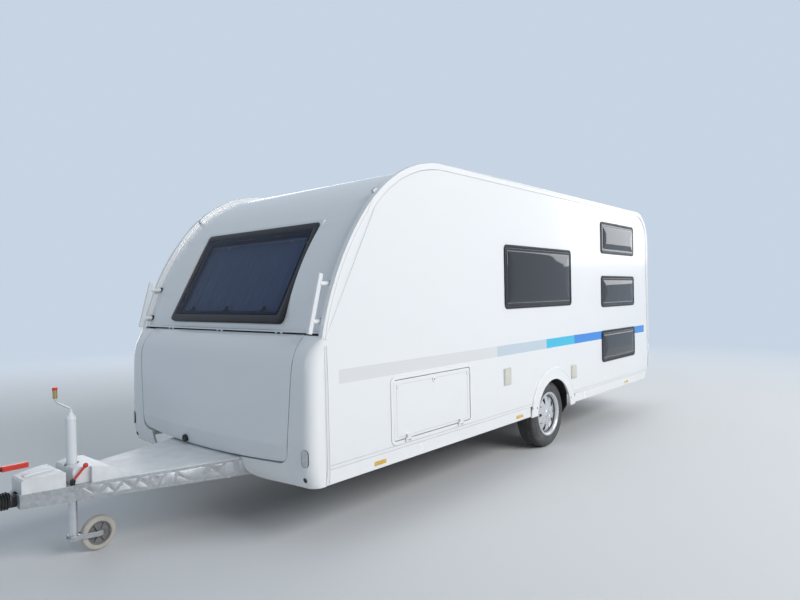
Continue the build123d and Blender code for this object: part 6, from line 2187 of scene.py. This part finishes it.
def studio_finish(settings):
    """Pale floor that keeps the shadows and fades into the backdrop with distance."""
    finish = Finish("studio_floor")
    colour = tuple(settings.floor)
    speckle = finish.noise(6.0, 6) * 0.05
    darker = scaled(colour, 0.9)
    finish.shine(Base_Color=finish.mix(speckle, colour, darker), Roughness=0.85)
    x, y = finish.axis("X"), finish.axis("Y")
    away = (x * x + y * y).math("SQRT").ease(FLOOR_NEAR, FLOOR_FAR) * background_seen(finish)
    glow = finish.add("ShaderNodeEmission", None, {"Color": tuple(settings.backdrop), "Strength": 1.0})
    output = finish.tree.nodes["Material Output"]
    lit = Wire(finish, finish.shader.outputs[0])
    faded = finish.add("ShaderNodeMixShader", None, {0: away, 1: lit, 2: glow})
    finish.fill(output.inputs["Surface"], faded)
    return finish.material


def studio_air(settings):
    """Even light from all round, with a pale backdrop for the camera, metal and glass."""
    world = bpy.data.worlds.new("studio_air")
    world.use_nodes = True
    world.node_tree.nodes.clear()
    nodes = Nodes(world.node_tree)
    lit = nodes.add("ShaderNodeBackground", None, {"Color": AIR_TINT, "Strength": settings.air})
    shown = nodes.add("ShaderNodeBackground", None, {"Color": tuple(settings.backdrop), "Strength": 1.0})
    either = nodes.add("ShaderNodeMixShader", None, {0: background_seen(nodes), 1: lit, 2: shown})
    nodes.fill(nodes.tree.nodes.new("ShaderNodeOutputWorld").inputs["Surface"], either)
    return world


CAMERA_PLACE = (4.60683149, 3.9657387, 1.5761923)
CAMERA_YAW = 220.69550855
CAMERA_PITCH = -0.57913
CAMERA_ROLL = -1.09502


def set_camera(context, settings):
    """Stands the camera where the photograph was taken from."""
    yaw, pitch, roll = radians(CAMERA_YAW), radians(CAMERA_PITCH), radians(CAMERA_ROLL)
    ahead = Vector((cos(yaw) * cos(pitch), sin(yaw) * cos(pitch), sin(pitch)))
    level = ahead.cross(Vector((0, 0, 1))).normalized()
    upright = level.cross(ahead)
    right = level * cos(roll) + upright * sin(roll)
    up = upright * cos(roll) - level * sin(roll)
    turn = Matrix((right, up, -ahead)).transposed().to_4x4()
    camera = bpy.data.cameras.new("camera")
    camera.lens = settings.lens
    camera.sensor_width = 36.0
    camera.clip_end = 200.0
    stand = bpy.data.objects.new("camera", camera)
    stand.matrix_world = Matrix.Translation(CAMERA_PLACE) @ turn
    context.scene.collection.objects.link(stand)
    context.scene.camera = stand


# Settings, panel and the run


def shade(name, description, *default):
    """A colour that can be chosen, in red, green and blue from 0 to 1."""
    return FloatVectorProperty(
        name=name, description=description, default=default, subtype="COLOR", size=3, min=0.0, max=1.0
    )


def number(name, description, default, low=0.0):
    """A plain number that can be chosen."""
    return FloatProperty(name=name, description=description, default=default, min=low)


def length(name, description, default):
    """A size that can be chosen, in metres."""
    settings = {"subtype": "DISTANCE", "unit": "LENGTH", "precision": 4}
    return FloatProperty(name=name, description=description, default=default, min=0.0, **settings)


class CaravanSizes(bpy.types.PropertyGroup):
    pane_bulge: length("Pane bulge", "How far the middle of a side window's pane stands out", 0.004)
    pleat: length("Blind pleat", "Height of one pleat of the blinds", 0.016)
    bead: length("Seam", "Radius of the fine seams between the body's panels", 0.0012)
    screw_radius: length("Screw", "Radius of the screws' heads on the arches and the roof", 0.0048)
    slat_pitch: length("Slat pitch", "Height from one slat of a vent to the next", 0.0105)
    tread_pitches: IntProperty(
        name="Tread blocks", description="Blocks round each road tyre", default=66, min=12
    )
    tread_depth: length("Tread depth", "Depth of the cuts between the tread's blocks", 0.0055)


class CaravanColours(bpy.types.PropertyGroup):
    white_panel: shade("Panels", "Paint of the walls, roof and doors", 0.8, 0.81, 0.82)
    white_trim: shade("Trims", "Plastic of the trims, corners and skirts", 0.82, 0.825, 0.83)
    white_lid: shade("Locker lid", "Gloss plastic of the front locker's lid", 0.8, 0.812, 0.83)
    stripe_grey: shade("Stripe, front", "Stripe's first part from the front", 0.7, 0.705, 0.71)
    stripe_pale: shade("Stripe, pale blue", "Stripe's second part", 0.535, 0.62, 0.69)
    stripe_cyan: shade("Stripe, cyan", "Stripe's third part", 0.03, 0.5, 0.74)
    stripe_blue: shade("Stripe, blue", "Stripe's last part", 0.012, 0.235, 0.72)
    seam_grey: shade("Seams", "Sealing lines between panels", 0.46, 0.47, 0.49)
    handle_white: shade("Handles", "Plastic of the grab handles", 0.8, 0.81, 0.82)
    cover_beige: shade("Socket covers", "Plastic of the covers on the left wall", 0.6, 0.585, 0.53)
    plate_blank: shade("Plate", "The blank plate at the rear", 0.78, 0.78, 0.76)
    frame_black: shade("Window frames", "Plastic of frames, catches and rims", 0.014, 0.014, 0.017)
    tinted_pane: shade("Side panes", "Acrylic of the side windows", 0.008, 0.007, 0.01)
    # The front pane's navy is partly its tint and partly painted reflection of a blue sky
    front_tint: shade("Front pane", "Acrylic of the front window", 0.006, 0.014, 0.05)
    blind_cloth: shade("Blinds", "Cloth of the side windows' blinds", 0.6, 0.58, 0.54)
    # The curtains' blue is partly their cloth and partly painted reflection of a blue sky in the front window
    curtain_cloth: shade("Curtains", "Cloth of the front window's curtains", 0.34, 0.5, 0.86)
    roof_dome: shade("Rooflights", "Milky acrylic of the rooflights", 0.8, 0.82, 0.84)
    galvanised: shade("Galvanised steel", "Drawbar, chassis and steadies", 0.62, 0.64, 0.66)
    pressed_zinc: shade("Pressings", "Smooth pressings of the drawbar's beams", 0.74, 0.75, 0.77)
    axle_metal: shade("Axle", "Axle tube and arms", 0.4, 0.42, 0.43)
    floor_board: shade("Floor", "Coated board under the body", 0.045, 0.045, 0.047)
    black_plastic: shade("Black plastic", "Wheel boxes, flaps and screws", 0.018, 0.018, 0.019)
    tyre_rubber: shade("Tyres", "Rubber of the road tyres", 0.066, 0.064, 0.066)
    rim_silver: shade("Wheels", "Lacquer of the wheel covers", 0.66, 0.67, 0.69)
    drum_metal: shade("Drums", "Brake drums and rim barrels", 0.05, 0.05, 0.052)
    cover_white: shade("Drawbar covers", "Plastic of the covers on the drawbar", 0.74, 0.75, 0.76)
    coupling_black: shade("Coupling", "Paint of the coupling and its housing", 0.022, 0.022, 0.024)
    gaiter_rubber: shade("Gaiter", "Rubber of the coupling's bellows", 0.016, 0.016, 0.017)
    lever_red: shade("Levers", "Plastic of the levers' grips", 0.62, 0.03, 0.016)
    jack_paint: shade("Jack tube", "Paint of the jack's outer tube", 0.72, 0.74, 0.76)
    jack_zinc: shade("Bright zinc", "The jack's leg and crank, and bolts", 0.74, 0.75, 0.77)
    brass: shade("Crank grip", "The grip of the jack's crank", 0.45, 0.37, 0.16)
    caster_rubber: shade("Jockey tyre", "Rubber of the jockey wheel", 0.5, 0.47, 0.42)
    hub_grey: shade("Jockey hub", "Plastic of the jockey wheel's hub", 0.16, 0.16, 0.16)
    lamp_lens: shade("Red lenses", "Tail, brake and fog lamps", 0.55, 0.01, 0.008)
    amber_lens: shade("Amber lenses", "Direction indicators at the rear", 0.9, 0.3, 0.01)
    yellow_lens: shade("Side reflectors", "Yellow reflectors along both skirts", 0.95, 0.58, 0.02)
    clear_lens: shade("Clear lenses", "Marker and reversing lamps", 0.74, 0.76, 0.78)


class CaravanStudio(bpy.types.PropertyGroup):
    lens: number("Lens", "Focal length on a 36 mm wide picture, in millimetres", 27.355, 10.0)
    lamps: number("Lamps", "Multiplies the strength of all the lamps", 1.0)
    air: number("Air", "Strength of the even light from all round", 0.36)
    floor: shade("Floor", "Colour of the studio's floor", 0.66, 0.67, 0.68)
    backdrop: shade("Backdrop", "What the camera, gloss and glass see all round", 0.57, 0.66, 0.77)


OPERATORS = [
    CARAVAN_OT_finishes,
    CARAVAN_OT_body,
    CARAVAN_OT_arches,
    CARAVAN_OT_wheels,
    CARAVAN_OT_windows,
    CARAVAN_OT_front,
    CARAVAN_OT_handles,
    CARAVAN_OT_openings,
    CARAVAN_OT_covers,
    CARAVAN_OT_lamps,
    CARAVAN_OT_roof,
    CARAVAN_OT_drawbar,
    CARAVAN_OT_studio,
]
SETTINGS = {
    "caravan_sizes": CaravanSizes,
    "caravan_colours": CaravanColours,
    "caravan_studio": CaravanStudio,
}


class CARAVAN_PT_panel(bpy.types.Panel):
    bl_label = "Travel caravan"
    bl_idname = "CARAVAN_PT_panel"
    bl_space_type = "VIEW_3D"
    bl_region_type = "UI"
    bl_category = "Caravan"

    def draw(self, context):
        for operator in OPERATORS:
            self.layout.operator(operator.bl_idname)
        for held, group in SETTINGS.items():
            for name in group.__annotations__:
                self.layout.prop(getattr(context.scene, held), name)


CLASSES = [*SETTINGS.values(), *OPERATORS, CARAVAN_PT_panel]


def register():
    for kind in CLASSES:
        bpy.utils.register_class(kind)
    for held, group in SETTINGS.items():
        setattr(bpy.types.Scene, held, PointerProperty(type=group))


def unregister():
    for held in SETTINGS:
        delattr(bpy.types.Scene, held)
    for kind in reversed(CLASSES):
        bpy.utils.unregister_class(kind)


def main():
    register()
    for operator in OPERATORS:
        group, name = operator.bl_idname.split(".")
        getattr(getattr(bpy.ops, group), name)()


if __name__ == "__main__":
    main()
